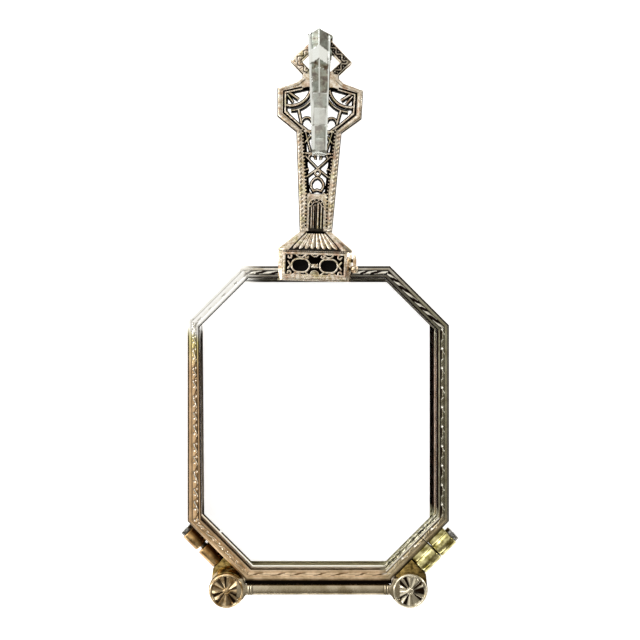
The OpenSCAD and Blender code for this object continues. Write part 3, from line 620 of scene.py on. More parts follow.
def make_rims():
    # Front rail tones: gold with painted reflection, then walls and seats, dark as painted shade
    # and pale as painted highlight
    front = rim_gold(
        "gold_rail_front_engraved",
        ((-180, -145, PEACH), (-130, -120, "#ffdfb4"), (-112, -68, CREAM), (-65, -39, TAUPE),
         (-34, 50, GREEN), (62, 80, "#c6c1b5"), (92, 112, BRONZE), (115, 143.5, PALE),
         (146, STRAW), (156, PEACH)),
        ((-180, "#332215"), (-125, -67, UMBER), (-64, -38.5, BUTTER), (-35.5, 60, UMBER),
         (75, 112, "#2e2b25"), (151, "#332215")),
        ((-67, 0.0), (-64, -38.5, 1.0), (-35.5, 0.0)),
        ((-180, -146, UMBER), (-143, CREAM), (-112, -67, NEAR_WHITE), (-64, -38.5, BUTTER),
         (-35.5, UMBER)))
    mesh = rim_mesh("front_rim_rail", FRONT_Z, FRONT_SPLIT, 0.075, FRONT_INNER, BROAD_SIDE,
                    FRONT_SLANT)
    finished("front_rim_rail", mesh, CARRIER, front, RIMS, ["front_rim"])
    # Rear rail tones: gold with painted reflection, then walls, dark as painted shade and pale as
    # painted reflection
    rear = rim_gold(
        "gold_rail_rear_engraved",
        ((-180, -150, "#a39684"), (-140, -122, "#e4dfd3"), (-114, -67, "#a89c7a"),
         (-64, -38.5, "#e9e3bd"), (-35.5, 28, "#d9c3b2"), (36, 62, "#d8d3c2"),
         (70, 110, "#7c766a"), (116, 146, PALE), (152, "#a39684")),
        ((-180, "#8f8375"), (-146, "#b8ab99"), (-141, -120, UMBER), (-112, -67, "#a89e78"),
         (-64, -38.5, "#dcd8b4"), (-37.6, 40, UMBER), (60, 112, "#5d594c"), (118, 142, PALE),
         (143, "#3a2f27"), (160, "#6f6357"), (180, "#8f8375")),
        ((112, 0.0), (116, 142, 1.0), (143, 0.0)))
    # The rear rail's mesh is drawn mirrored: each side takes the values of the one opposite it
    inner = tuple(REAR_INNER[(4 - side) % 8] for side in range(8))
    mesh = rim_mesh("rear_rim_rail", 0, REAR_SPLIT, 0.1, inner, (4 - BROAD_SIDE) % 8, REAR_SLANT)
    finished("rear_rim_rail", mesh, "rear_lens_frame", rear, RIMS @ MIRRORED,
             ["rear_rim"])


# Bridge


def star_disc_mesh(seed):
    """A disc with a raised rim round a sunburst of hand-cut facets that meet in sharp ridges."""
    shrink, per_ray, rays = 0.95, 8, DISC_RAYS
    radii = (0.0, 0.12, 0.24, 0.3, 0.36, 0.5, 0.7, 0.95, 1.2, 1.45, 1.7, 1.84, 1.9, 1.95, 2.0,
             2.06, 2.12, 2.19, DRUM_R)
    rings = []
    count = per_ray * rays
    for r in radii:
        field = smooth_step(0.3, 0.55, r) * (1 - smooth_step(1.84, 1.96, r))
        ring = []
        for i in range(count):
            share = i / per_ray % 1
            ray = i // per_ray
            wobble = 0.1 * math.sin(ray * 2.4 + seed)
            angle = 2 * math.pi * (i / count + (wobble * math.sin(math.pi * share)) / rays)
            valley = 1 - abs(2 * share - 1)
            depth = (0.1 + 0.05 * math.sin(ray * 1.7 + seed)) + 0.12 * (ray % 2)
            z = DISC_TOP - 0.1 - depth * valley * field * (0.5 + r / 2.4)
            z += 0.07 * (1 - smooth_step(0.24, 0.4, r))
            z += 0.1 * smooth_step(1.93, 2.03, r) * (1 - smooth_step(2.08, 2.25, r))
            if r == DRUM_R:
                z = DISC_TOP - 0.16
            # Marks: painted shade on every other facet at random, in the ring groove and deep in
            # the valleys
            facet = 2 * ray + (share >= 0.5)
            side = smooth_step(0.15, 0.8, math.sin(facet * 2.7 + seed))
            line = 0.85 * tent(r - 1.93, 0.06)
            mark = min(1.0, max(line, field * side, 0.6 * (valley * field) ** 3))
            ring.append((r * shrink * math.cos(angle), r * shrink * math.sin(angle), z, mark))
        rings.append(ring)
    rings.append([(x, y, DISC_Z, 0.4) for x, y, *_ in rings[-1]])
    rings.append([(0.0, 0.0, DISC_Z, 0.0)] * count)
    return outwards(lofted("disc", rings, caps=False), 1e-5)


# How much broader the bar's upper half is, for its rolled edge, and where its rings and the dark
# lines beside them are, from its middle
BAR_SWELL, BAR_RINGS, BAR_LINES = 1.36, (8.35, 8.65), (8.5, 8.17)
# The dark lip on the bar's upper edge, marked dark all over as painted shade in the gap under
# the rims: how far it reaches to each side and above the hinges
SHADE_LIP_HALF, SHADE_LIP_UP = 9.2, 0.85


def bar_mesh():
    """The bar between the discs: a rounded top that spreads into each disc behind two rings."""
    stations = []
    x = 0.0
    while x < 10.2:
        stations.append(x)
        x += 0.5 if x < 7.9 else 0.05
    stations = sorted({-x for x in stations} | set(stations))
    rings = []
    for x in stations:
        out = abs(x)
        ridge = min(1.0, sum(tent(out - at, 0.11) for at in BAR_RINGS))
        half = BAR_W / 2 + 0.62 * smooth_step(8.8, 9.5, out) ** 2
        half += 0.1 * ridge
        top = BAR_TOP + 0.05 * ridge
        low = DISC_Z if out > BAR_HALF - 0.1 else BAR_TOP - BAR_DEPTH
        edge = 0.22 * min(1.0, top - low)
        dark = min(1.0, sum(tent(out - at, 0.06) for at in BAR_LINES))
        section = []
        for k in range(-6, 7):
            a = k / 6 * math.pi / 2
            y = math.sin(a) ** 3 * 0.1 + math.sin(a) * (half - 0.1)
            y *= BAR_SWELL if y > 0 else 1
            section.append((y, top - edge * (1 - math.cos(a) ** 0.6), dark))
        upper = half * BAR_SWELL
        section += [(upper, low + 0.1, 0.0), (upper - 0.1, low, 0.0), (0.1 - half, low, 0.0),
                    (-half, low + 0.1, 0.0)]
        rings.append([(x, y + HINGE_Y, z, mark) for y, z, mark in section])
    return outwards(lofted("bar", rings))


def star_gold():
    """Gold disc, cut bright with a graver: orange facets on the left disc's side, cream on the
    right's, beside facets painted brown as shade."""
    metal = worn_gold("disc_gold_star_cut", "#f6deb4", "#a58453", "#1c1006", 0.18, 0.9)
    tree = metal[1]
    place = add(tree, "ShaderNodeSeparateXYZ", {"Vector": in_mm(tree)})
    right = add(tree, "ShaderNodeMapRange", {"Value": place}, From_Min=-4.0, From_Max=4.0)
    return retoned(metal, right, "#ece2c8", OVER)


def make_bridge():
    # Drawn gold bar, handled most: long soft patches of cream and brown, few dark lines
    bar_gold = worn_gold("bar_gold_drawn", "#cbbea3", "#9f9072", "#150f09", 0.22, 2.5)[0]
    # Painted shade: a dark strip fills the gap between the rims and the bar
    lip = [(side * SHADE_LIP_HALF, HINGE_Y + SHADE_LIP_UP) for side in (-1, 1)]
    bar = joined("bar", [bar_mesh(), rib(lip, 0.42, 3.4, 4.25, mark=1.0)])
    finished("bridge_bar_ringed", bar, "bridge", bar_gold, RIMS, ["bridge_bar"])
    discs = []
    for side in (-1, 1):
        disc = star_disc_mesh(side * 2.0)
        disc.transform(Matrix.Translation((side * HINGE_X, HINGE_Y, 0)))
        discs.append(disc)
    finished("bridge_star_discs", joined("discs", discs), "bridge", star_gold(),
             RIMS, ["bridge_bar"])


# Fittings with softened edges


# Outer and inner side of the lower left barrels, along the line from the rims' middle
BARREL_OUT, BARREL_IN = -32.3, -29.6


def barrel_gold_with_painted_streak():
    """The lower left barrels' gold: a painted highlight as a white streak along their outer side,
    and painted shade, brown, where they turn under the rim."""
    metal = worn_gold("barrel_gold_painted_streak", "#f2d6a8", "#a8875a", "#1f160c", 0.18, 0.8)
    tree = metal[1]
    across = add(tree, "ShaderNodeSeparateXYZ", {"Vector": in_mm(tree, turn=45)})
    inwards = add(tree, "ShaderNodeMapRange", {"Value": across.outputs["Y"]},
                  From_Min=BARREL_OUT, From_Max=BARREL_IN)
    # Painted highlight and shade across the barrel: a white streak outside, brown inwards
    brown = add(tree, "ShaderNodeValToRGB", {"Fac": inwards},
                [(0, "#d8c4a8"), (0.28, "#fffaf0"), (0.4, "#dcc8a8"), (0.5, "#7a664c"),
                 (1, "#3f3022")])
    return retoned(metal, 1.0, brown, TIMES)


def make_fittings():
    """Barrels, screws, drums and the lever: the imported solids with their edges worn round. The
    works inside keep their shape."""
    # Green gold, polished: straw-yellow with olive patches
    right = worn_gold("barrel_gold_bright", "#ebe2a8", "#7d7234", "#1c160a", 0.16, 0.9)[0]
    # Yellow gold, turned on a lathe: small mottled patches, painted darker than the other gold as
    # shade, since the drums sit under the discs
    drum = worn_gold("drum_gold_turned", "#c2a461", "#54441f", "#120c06", 0.22, 0.55)[0]
    # Screw steel, worn grey: the only metal without yellow
    steel = worn_gold("screw_steel_worn", "#9b9a94", "#5e5c58", "#15130f", 0.22, 0.8)[0]
    # Rose gold, polished by the thumb: a warm pale glint
    knob = worn_gold("lever_gold_polished", "#fbeed4", "#b8946a", "#20160c", 0.16, 0.8)[0]
    for side, body, barrel in (("front", CARRIER, right),
                               ("rear", "rear_lens_frame", barrel_gold_with_painted_streak())):
        worn_piece(f"{side}_barrel_upper", 0.16, body, barrel)
        worn_piece(f"{side}_barrel_lower", 0.16, body, barrel)
        worn_piece(f"{side}_closing_screw", 0.2, body, steel)
        worn_piece(f"{side}_hinge_drum", 0.08, body, drum)
        for part in ("hinge_spring", "pivot_pin", "pivot_washer"):
            left_plain(f"{side}_{part}", steel)
    worn_piece("release_lever", 0.1, "catch_lever", knob)
    left_plain("lever_pin", steel)
    left_plain("catch_spring", steel)
    left_plain("rear_catch_tab", drum)


# Lenses


# How much the lenses bend light. Spectacle glass has 1.52; nearer to air's 1, it leaves the
# white ground behind it unmoved, as it looks in the photograph.
LENS_IOR = 1.1


def make_lenses():
    """Ground and polished crown glass: nearly invisible, with a pale reflection."""
    glass = new_material("lens_crown_glass_polished", Roughness=0.0, IOR=LENS_IOR,
                         Transmission_Weight=1.0, Base_Color=linear("#ffffff"))[0]
    left_plain("front_lens", glass)
    left_plain("rear_lens", glass)


# Handle


def arc(centre, radius, start, end, count=14):
    """Points of an arc, from one angle to another in degrees."""
    turns = [math.radians(start + (end - start) * i / count) for i in range(count + 1)]
    return [(centre[0] + radius * math.cos(a), centre[1] + radius * math.sin(a)) for a in turns]


def scroll(centre, radius, start, sweep):
    """Points of a curl that winds in to a third of its radius."""
    points = []
    count = 18
    for i in range(count + 1):
        a = math.radians(start + sweep * i / count)
        r = radius * (1 - 0.67 * i / count)
        points.append((centre[0] + r * math.cos(a), centre[1] + r * math.sin(a)))
    return points


def both_sides(line):
    """A line of points, and the same on the other side of the handle's middle."""
    return line, [(-u, *rest) for u, *rest in line]


def round_the_middle(line):
    """A line on the right and its way back on the left, as one outline."""
    return line + both_sides(line)[1][::-1]


def resampled(points, step):
    """The same line with a point every step, and with its corners kept."""
    dense = []
    for (ax, ay), (bx, by) in zip(points, points[1:]):
        count = max(1, round(math.hypot(bx - ax, by - ay) / step))
        dense += [(ax + (bx - ax) * i / count, ay + (by - ay) * i / count) for i in range(count)]
    return dense + [points[-1]]


def side_steps(points, closed=False):
    """Unit steps sideways at each point of a line, longer where the line turns."""
    result = []
    count = len(points)
    for i, (x, y) in enumerate(points):
        before = points[i - 1] if i or closed else points[i]
        after = points[(i + 1) % count] if i < count - 1 or closed else points[i]
        ins = Vector((x - before[0], y - before[1]))
        outs = Vector((after[0] - x, after[1] - y))
        ins = ins.normalized() if ins.length > 1e-9 else outs.normalized()
        outs = outs.normalized() if outs.length > 1e-9 else ins
        along = (ins + outs).normalized()
        stretch = min(1.6, 1 / max(0.3, along.dot(outs)))
        result.append((-along.y * stretch, along.x * stretch))
    return result


def rib(points, width, low, high, cutter=None, closed=False, steps=6, mark=0.0, flank=0.0):
    """A raised strip along a line: a rounded top between sloping flanks marked dark as painted
    shade, and the marks that cutter gives from the distance along it and the place across it,
    -1 to 1."""
    if cutter:
        points = resampled(points, 0.09)
    edge, drop = width / 2 + 0.02, high - 0.15 * width
    foot, fall = edge + flank, drop - 0.1 - 0.8 * flank
    walls = ((edge, drop - 0.05), (foot, fall), (foot, low), (-foot, low), (-foot, fall),
             (-edge, drop - 0.05))
    rings, along = [], 0.0
    for i, ((x, y), (sx, sy)) in enumerate(zip(points, side_steps(points, closed))):
        if i:
            along += math.hypot(x - points[i - 1][0], y - points[i - 1][1])
        ring = []
        for k in range(steps + 1):
            across = 2 * k / steps - 1
            cut = cutter(along, across) if cutter else 0.0
            lift = high - 0.15 * width * across**4 - 0.07 * cut
            reach = across * width / 2
            ring.append((x + sx * reach, y + sy * reach, lift, max(cut, mark)))
        # The flanks carry the dark mark: painted shade
        ring += [(x + sx * reach, y + sy * reach, lift, 1.0) for reach, lift in walls]
        rings.append(ring)
    if closed:
        return outwards(lofted("rib", rings + rings[:1], caps=False), 1e-5)
    return outwards(lofted("rib", rings))


def plate(outline, holes, low, high, edge=0.07, mark=0.0):
    """A flat plate with holes and softly rounded edges."""
    curve = bpy.data.curves.new("plate", "CURVE")
    curve.dimensions, curve.fill_mode = "2D", "BOTH"
    curve.extrude = (high - low) / 2 - edge
    curve.bevel_depth, curve.bevel_resolution, curve.offset = edge, 1, -edge
    for points in [outline, *holes]:
        line = curve.splines.new("POLY")
        line.points.add(len(points) - 1)
        for point, (x, y) in zip(line.points, points):
            point.co = (x, y, 0, 1)
        line.use_cyclic_u = True
    mesh = baked(linked("plate", curve))
    mesh.transform(Matrix.Translation((0, 0, (low + high) / 2)))
    outwards(mesh, 1e-4)
    # Sides and back below the top are marked dark: painted shade on the plate's walls
    with_marks(mesh, "cut", [max(mark, float(v.co.z < high - 0.3)) for v in mesh.vertices])
    return mesh


def rope_cut(pitch):
    """Marks of a slanted graver stroke at each pitch along a strip."""

    def cutter(along, across):
        place = (along + across * pitch * 0.3) / pitch % 1.0
        return tent(place - 0.5, 0.2) * (1 - across**4)

    return cutter


def vine_cut(pitch, raised):
    """Marks of a waved stem with a leaf in each bend, or of the ground round a raised one."""

    def cutter(along, across):
        turn = 2 * math.pi * along / pitch
        stem = tent(across - 0.5 * math.sin(turn), 0.26)
        leaf = tent(math.hypot(across + 0.45 * math.sin(turn), 0.8 * math.cos(turn)), 0.3)
        vine = min(1.0, (1.3 if raised else 1.9) * max(stem, leaf)) * (1 - across**6)
        return 1 - min(1.0, vine + smooth_step(0.85, 0.95, abs(across))) if raised else vine

    return cutter


# Where the front shell's plate, its ribs and the strips on it start, and the tops of its inner
# step, of its shell and of the beads' line
PLATE_LOW, RIB_LOW, STRIP_LOW, STEP_TOP, SHELL_TOP, BEAD_LINE = 3.69, 3.72, 4.5, 4.32, 4.62, 4.66
# Radius and spacing of the beads on the handle and on the block
HANDLE_BEADS, BLOCK_BEADS = (0.14, 0.42), (0.11, 0.26)
# Height along the handle of the middle of the arched window's top
ARCH_V = 9.35


def arched(radius):
    """A line up one side of the arched window, round its top and down the other side."""
    return [(radius, 6.6)] + arc((0, ARCH_V), radius, 0, 180, 16) + [(-radius, 6.6)]


def handle_outline():
    """The handle's edge, as in its solid."""
    return round_the_middle([
        (SHAFT_FOOT, SHAFT_V + 0.03), (SHAFT_TOP, CROSS_V), (CROSS_HALF - 0.1, SIDE_V),
        (CROSS_HALF, TOP_V), (NECK_HALF + 0.9, NECK_V - 0.55), (NECK_HALF + 0.2, NECK_V - 0.1),
        (NECK_HALF, NECK_V + 0.3), (NECK_HALF, DIAMOND_V - DIAMOND_R + NECK_HALF),
        (DIAMOND_R, DIAMOND_V), (DIAMOND_CUT, POINT_V)])


def handle_ribs():
    """The pierced pattern: swags and struts in the crosspiece, a scroll, a knot, a loop and an
    arched window down the shaft."""
    level, thin, thick = 4.55, 0.13, 0.22
    ribs = []
    for width, high, lines in (
        (thick, level,
         (arc((3.71, 24.5), 2.6, 192, 290), [(4.4, 23.9), (2.7, 22.75)],
          [(2.65, 21.5), (2.2, 19.7)], [(2.35, 19.5), (1.1, 18.55)])),
        (thin, level - 0.05,
         (arc((3.71, 24.5), 3.2, 200, 268), [(4.1, 23.3), (3.35, 22.35)],
          arc((1.55, 19.9), 0.6, 15, 175), [(4.6, 21.6), (3.9, 20.9)],
          [(1.65, 18.6), (1.0, 16.3)], arc((0.75, 15.45), 0.42, -30, 200),
          [(1.0, 18.2), (1.9, 17.1)])),
        (thin, level + 0.05,
         ([(0, 14.1), (1.65, 15.7)], [(0, 14.1), (1.6, 12.85)], [(0.75, 11.1), (1.45, 10.6)],
          [(1.7, 13.9), (1.1, 14.05)])),
    ):
        for line in lines:
            ribs += [rib(points, width, RIB_LOW, high, flank=0.13) for points in both_sides(line)]
    for line, width, high in (
        ([(-2.2, 18.75), (2.2, 18.75)], 0.3, level), ([(-2.1, 16.0), (2.1, 16.0)], 0.26, level),
        ([(-1.3, 10.75), (1.3, 10.75)], 0.3, level), ([(0, 24.2), (0, 16.0)], 0.5, 4.3),
        ([(-0.36, 6.6), (-0.36, 9.5)], 0.16, 4.3), ([(0.2, 6.6), (0.2, 9.75)], 0.24, 4.6),
    ):
        ribs.append(rib(line, width * 0.7, RIB_LOW, high, flank=0.12))
    ring = arc((0, 13.55), 0.33, 0, 360, 20)[:-1]
    heart = [(0, 13.0), (0.45, 12.75), (0.75, 12.3), (0.78, 11.8), (0.5, 11.3), (0, 11.45),
             (-0.5, 11.3), (-0.78, 11.8), (-0.75, 12.3), (-0.45, 12.75)]
    ribs.append(rib(ring, 0.14, RIB_LOW, 4.64, closed=True, flank=0.06))
    ribs.append(rib(heart, 0.15, RIB_LOW, 4.62, closed=True, flank=0.13))
    for radius, width, high in ((1.0, 0.2, 4.68), (0.62, 0.18, 4.5)):
        ribs.append(rib(arched(radius), width * 0.8, 4.0, high, flank=0.08))
    ribs.append(rib([(-0.95, 6.42), (0.95, 6.42)], 0.34, 4.0, 4.66, mark=0.95))
    return ribs


def handle_borders():
    """The strips along the edges, the rope of the shaft, the plain band and the wire of the
    crosspiece and the groove inside them, marked dark all over as painted shade, and the cut
    ornament of the diamond."""
    rope = [(1.68, 6.3), (2.47, 18.75)]
    band = [(2.47, 18.75), (4.97, 20.73), (5.04, 23.86), (2.8, 24.6), (2.02, 25.3)]
    wire = [(1.95, 19.05), (4.28, 21.06), (4.34, 23.48), (2.2, 24.02)]
    groove = [(1.3, 6.6), (1.32, 10.9), (2.08, 18.9), (4.5, 20.95), (4.55, 23.62), (2.3, 24.2)]
    arms = [(1.75, 26.15), (3.12, 27.6), (0.95, 29.77)]
    strips = []
    for line, width, low, high, cutter, steps, mark in (
        (rope, 0.42, STRIP_LOW, FRONT_TOP, rope_cut(0.52), 8, 0.0),
        (band, 0.44, STRIP_LOW, FRONT_TOP, None, 6, 0.12),
        (wire, 0.15, 4.3, 4.68, None, 6, 0.0),
        (groove, 0.32, STRIP_LOW, 4.64, None, 6, 1.0),
    ):
        for points in both_sides(line):
            strips.append(rib(points, width, low, high, cutter, steps=steps, mark=mark))
    # Both arms carry the same vine; the right arm's ground is marked dark round it as painted
    # shade
    for points, raised in zip(both_sides(arms), (True, False)):
        strips.append(rib(points, 0.86, 4.3, DIAMOND_FRONT, vine_cut(1.1, raised), steps=12))
    return strips


def bead_tree(material):
    """Geometry nodes: a row of beads, as a milgrain wheel leaves them, along each line."""
    tree = bpy.data.node_groups.new("milgrain", "GeometryNodeTree")
    for way, kind, name in (("INPUT", "Geometry", "Lines"), ("INPUT", "Float", "Bead Radius"),
                            ("INPUT", "Float", "Bead Spacing"), ("OUTPUT", "Geometry", "Beads")):
        tree.interface.new_socket(name, in_out=way, socket_type="NodeSocket" + kind)
    given = add(tree, "NodeGroupInput")
    line = add(tree, "GeometryNodeMeshToCurve", {"Mesh": given.outputs["Lines"]})
    spaced = add(tree, "GeometryNodeResampleCurve",
                 {"Curve": line, "Length": given.outputs["Bead Spacing"]}, mode="LENGTH")
    bead = add(tree, "GeometryNodeMeshUVSphere", {"Radius": given.outputs["Bead Radius"],
                                                  "Segments": 8, "Rings": 5})
    placed = add(tree, "GeometryNodeInstanceOnPoints", {"Points": spaced, "Instance": bead})
    real = add(tree, "GeometryNodeRealizeInstances", {"Geometry": placed})
    made = add(tree, "GeometryNodeSetMaterial", {"Geometry": real, "Material": material})
    add(tree, "NodeGroupOutput", {"Beads": made})
    return tree


def beads(name, lines, radius, spacing, material):
    """A mesh of beads along lines of points, in millimetres."""
    points, edges = [], []
    for line in lines:
        start = len(points)
        points += line
        edges += [(start + i, start + i + 1) for i in range(len(line) - 1)]
    mesh = bpy.data.meshes.new(name)
    mesh.from_pydata(points, edges, [])
    holder = linked(name, mesh)
    rule = holder.modifiers.new("milgrain", "NODES")
    rule.node_group = bead_tree(material)
    sizes = {"Bead Radius": radius, "Bead Spacing": spacing}
    for socket in rule.node_group.interface.items_tree:
        if socket.name in sizes:
            rule[socket.identifier] = sizes[socket.name]
    return baked(holder)


# Patches of the handle's plating in a millimetre
PLATING_PER_MM = 0.7


def handle_gold():
    """Cast and pierced white gold, its thin plating worn: straw-green in some patches and
    rose-brown in others, and dark in every recess with oxidation and painted shade."""
    metal = worn_gold("handle_white_gold_filigree", "#fff6e6", "#c4ad8d", "#0a0604", 0.17, 0.4)
    tree = metal[1]
    hue = add(tree, "ShaderNodeTexNoise", {"Vector": in_mm(tree, at=(3.0, 1.0, 0))},
              Scale=PLATING_PER_MM, Detail=3.0)
    tint = add(tree, "ShaderNodeValToRGB", {"Fac": hue},
               [(0.32, "#dde0b0"), (0.46, "#ffffff"), (0.56, "#ffffff"), (0.68, "#dcb4a2")])
    return retoned(metal, 0.6, tint, TIMES)


def make_handle(metal):
    arch = arched(0.9)
    window = round_the_middle([(1.2, 10.9), (2.0, 19.0), (4.35, 21.0), (4.35, 23.65),
                               (1.6, 24.25)])
    step = round_the_middle([(0.9, 10.9), (1.66, 19.1), (4.0, 21.2), (4.0, 23.35), (1.6, 23.95)])
    floor_half = DIAMOND_HOLE - (DIAMOND_V - HOLE_FLOOR_V)
    diamond_hole = [(-floor_half, HOLE_FLOOR_V), (floor_half, HOLE_FLOOR_V),
                    (DIAMOND_HOLE, DIAMOND_V), (0, DIAMOND_V + DIAMOND_HOLE),
                    (-DIAMOND_HOLE, DIAMOND_V)]
    outline = handle_outline()
    body = [p for p in outline if p[1] < 26.2]
    body.insert(len(body) // 2, (-1.9, 25.95))
    body.insert(len(body) // 2, (1.9, 25.95))
    head = [(1.5, 25.7)] + [p for p in outline if p[1] > 27] + [(-1.5, 25.7)]
    wider = [(u + math.copysign(0.1, u), v) for u, v in body]
    # The lower, wider plate is marked dark all over: painted shade in the step inside the windows
    meshes = [plate(body, [arch, window], STEP_TOP, SHELL_TOP),
              plate(wider, [arch, step], PLATE_LOW, STEP_TOP, mark=1.0),
              plate(head, [diamond_hole], PLATE_LOW, DIAMOND_FRONT - 0.2)]
    meshes += handle_ribs() + handle_borders()
    finished("handle_filigree_front", joined("handle_filigree_front", meshes), CARRIER,
             metal, HANDLE, ["handle_front"])

    shaft = [(u, v, BEAD_LINE) for u, v in ((1.3, 6.7), (1.32, 10.9), (2.08, 18.9))]
    rows = [*both_sides(shaft),
            [(u, v, BEAD_LINE - 0.02) for u, v in arc((0, ARCH_V), 0.8, 0, 180, 16)]]
    finished("handle_milgrain", beads("handle_milgrain", rows, *HANDLE_BEADS, metal), CARRIER,
             metal, HANDLE)
    left_plain("handle_back", metal)


# Cap and catch block


def cap_mesh():
    """A hip roof; its front carries a fan of hollow-backed flutes with scalloped ends."""
    low, flutes, across, up = BLOCK_H + 0.03, 8, 168, 44
    # How far the fan reaches to each side, at the block and at the shaft, and how high the cap's
    # front and back are at the block
    fan_foot, fan_top = 3.15, 1.05
    front_foot, back_foot = PANEL_FRONT - 0.03, 2.6
    rings = []
    for i in range(up + 1):
        s = i / up
        v = low + (SHAFT_V - low) * s
        half = BLOCK_W / 2 + (SHAFT_FOOT - BLOCK_W / 2) * max(0.0, (s - 0.06) / 0.94)
        fan = fan_foot + (fan_top - fan_foot) * s
        front = front_foot + (FRONT_TOP - PANEL_FRONT) * s - 0.12
        back = back_foot + 0.04 + (HANDLE_Z - back_foot) * s
        ring = []
        for j in range(across + 1):
            u = (2 * j / across - 1) * half
            # Marks: painted shade in the creases between flutes, below their scalloped ends, along
            # the fan's edge and in the hollow under the shaft
            z, mark = front - 0.25 * smooth_step(half - 0.9, half, abs(u)) * (1 - s), 0.0
            place = (u / fan + 1) / 2 * flutes
            if 0 <= place <= flutes:
                inside = 2 * (place % 1) - 1
                end = 0.05 + 0.19 * inside * inside
                bulge = math.sqrt(max(0.0, 1 - inside * inside))
                here = smooth_step(end - 0.015, end + 0.02, s)
                z += 0.26 * bulge * here * (1 - 0.45 * s) - 0.11
                mark = max(0.0, 1 - bulge * 1.45) if here > 0.5 else 0.95
            elif abs(abs(u) - fan) < 0.16:
                mark = 0.95
                z -= 0.08
            if s > 0.9 and abs(u) < 1.1:
                z, mark = z - 0.15, 1.0
            ring.append((u, v, z, mark))
        rings.append(ring + [(half, v, back, 0.3), (-half, v, back, 0.3)])
    return outwards(lofted("cap", rings))


def oval(side, grow):
    """Points round one of the two oval openings."""
    end, run = OVAL_H / 2 + grow, (OVAL_LEN - OVAL_H) / 2
    middle = side * OVAL_X
    v = BLOCK_H / 2
    return arc((middle + run, v), end, -90, 90, 12) + arc((middle - run, v), end, 90, 270, 12)


def panel_meshes():
    """Die-struck scrollwork on a sunk ground, framed, round two dark oval openings."""
    low, half = BLOCK_FRONT + 0.015, PANEL_W / 2 - 0.02
    bottom, top = 0.22, BLOCK_H - 0.27
    high = PANEL_FRONT
    # The ground is marked dark all over: painted shade in the sunk ground between the raised
    # scrolls
    ground = plate([(-half, bottom), (half, bottom), (half, top), (-half, top)],
                   [oval(1, 0), oval(-1, 0)], low, low + 0.12, edge=0.02, mark=1.0)
    meshes = [ground]
    frame_line = [(half - 0.15, bottom + 0.42), (half - 0.15, top - 0.13),
                  (0.15 - half, top - 0.13), (0.15 - half, bottom + 0.42)]
    meshes.append(rib(frame_line, 0.26, low, high, closed=True))
    meshes.append(rib([(-half, bottom + 0.17), (half, bottom + 0.17)], 0.34, low, high - 0.05))
    for side in (-1, 1):
        meshes.append(rib(oval(side, 0.1), 0.2, low, high - 0.04, closed=True))
        for points, width in (
            (scroll((side * 3.15, 2.95), 0.33, 90, 300 * side), 0.15),
            (scroll((side * 3.2, 0.95), 0.33, -90, -300 * side), 0.15),
            (scroll((side * 0.95, 2.98), 0.27, 90, -320 * side), 0.13),
            (arc((side * 1.75, 3.5), 0.62, 205, 335), 0.13),
            (arc((side * 2.2, 0.35), 0.6, 35, 150), 0.13),
            ([(side * 3.35, 1.4), (side * 2.98, 1.9), (side * 3.35, 2.4)], 0.15),
            ([(side * 0.75, 0.7), (side * 1.15, 1.05)], 0.14),
            ([(0, 1.62), (side * 0.38, 2.05)], 0.17), ([(0, 2.05), (side * 0.38, 1.62)], 0.17),
        ):
            meshes.append(rib(points, 1.25 * width, low, high - 0.02))
    for radius in (0.52, 0.33, 0.15):
        meshes.append(rib(arc((0, 0.72), radius, 0, 180, 14), 0.12, low, high - 0.05))
    meshes.append(rib(arc((0, 3.55), 0.55, 200, 340), 0.13, low, high - 0.06))
    return meshes


# Grains in a millimetre of the painted shade in the ovals
SHADE_GRAIN_PER_MM = 6.0


def oval_painted_shade():
    """The ground of the ovals, matt and nearly black: painted shade for the dark inside that shows
    through them, with a faint brown grain."""
    material, tree, bsdf = new_material("oval_ground_painted_shade", Roughness=0.7,
                                        Specular_IOR_Level=0.08)
    grain = add(tree, "ShaderNodeTexNoise", {"Vector": in_mm(tree)}, Scale=SHADE_GRAIN_PER_MM)
    grain = add(tree, "ShaderNodeValToRGB", {"Fac": grain}, [(0.4, "#050403"), (0.75, "#181410")])
    tree.links.new(grain.outputs[0], bsdf.inputs["Base Color"])
    return material


def make_block(metal):
    finished("shoulder_cap_fluted", cap_mesh(), CARRIER, metal, HANDLE,
             ["shoulder_cap"])
    finished("block_panel_scrollwork", joined("panel", panel_meshes()), CARRIER,
             metal, HANDLE, ["block_front_panel"])
    worn_piece("block_case", 0.12, CARRIER, metal)
    row = [(side * (PANEL_W / 2 - 0.3), BLOCK_H - 0.12, 5.42) for side in (-1, 1)]
    finished("block_milgrain", beads("block_milgrain", [row], *BLOCK_BEADS, metal), CARRIER,
             metal, HANDLE)
    # Near-black dishes in the ovals: painted shade for the dark inside
    dishes = []
    for side in (-1, 1):
        rings = [[(x, y, z, 0.0) for x, y in oval(side, grow)] for grow, z in
                 ((-0.72, 4.98), (-0.4, 4.99), (-0.05, 5.08), (-0.01, 5.2), (0.0, 5.2),
                  (0.0, 4.9), (-0.72, 4.9))]
        dishes.append(outwards(lofted("dish", rings)))
    finished("block_oval_grounds", joined("dishes", dishes), CARRIER, oval_painted_shade(),
             HANDLE)
    left_plain("block_back_plate", metal)


# Bail


# The bail's hammered facets, from the head down: where each ends along the handle, how far it
# falls over its length, and how pale it is painted, as painted reflection
BAIL_FACETS = ((29.1, 0.42, 0.2), (27.4, 0.0, 1.0), (26.3, 0.07, 0.0), (23.2, -0.05, 0.1),
               (21.3, 0.06, 0.3), (19.2, -0.02, 0.7), (17.5, 0.05, 0.25), (15.0, 0.0, 0.4))


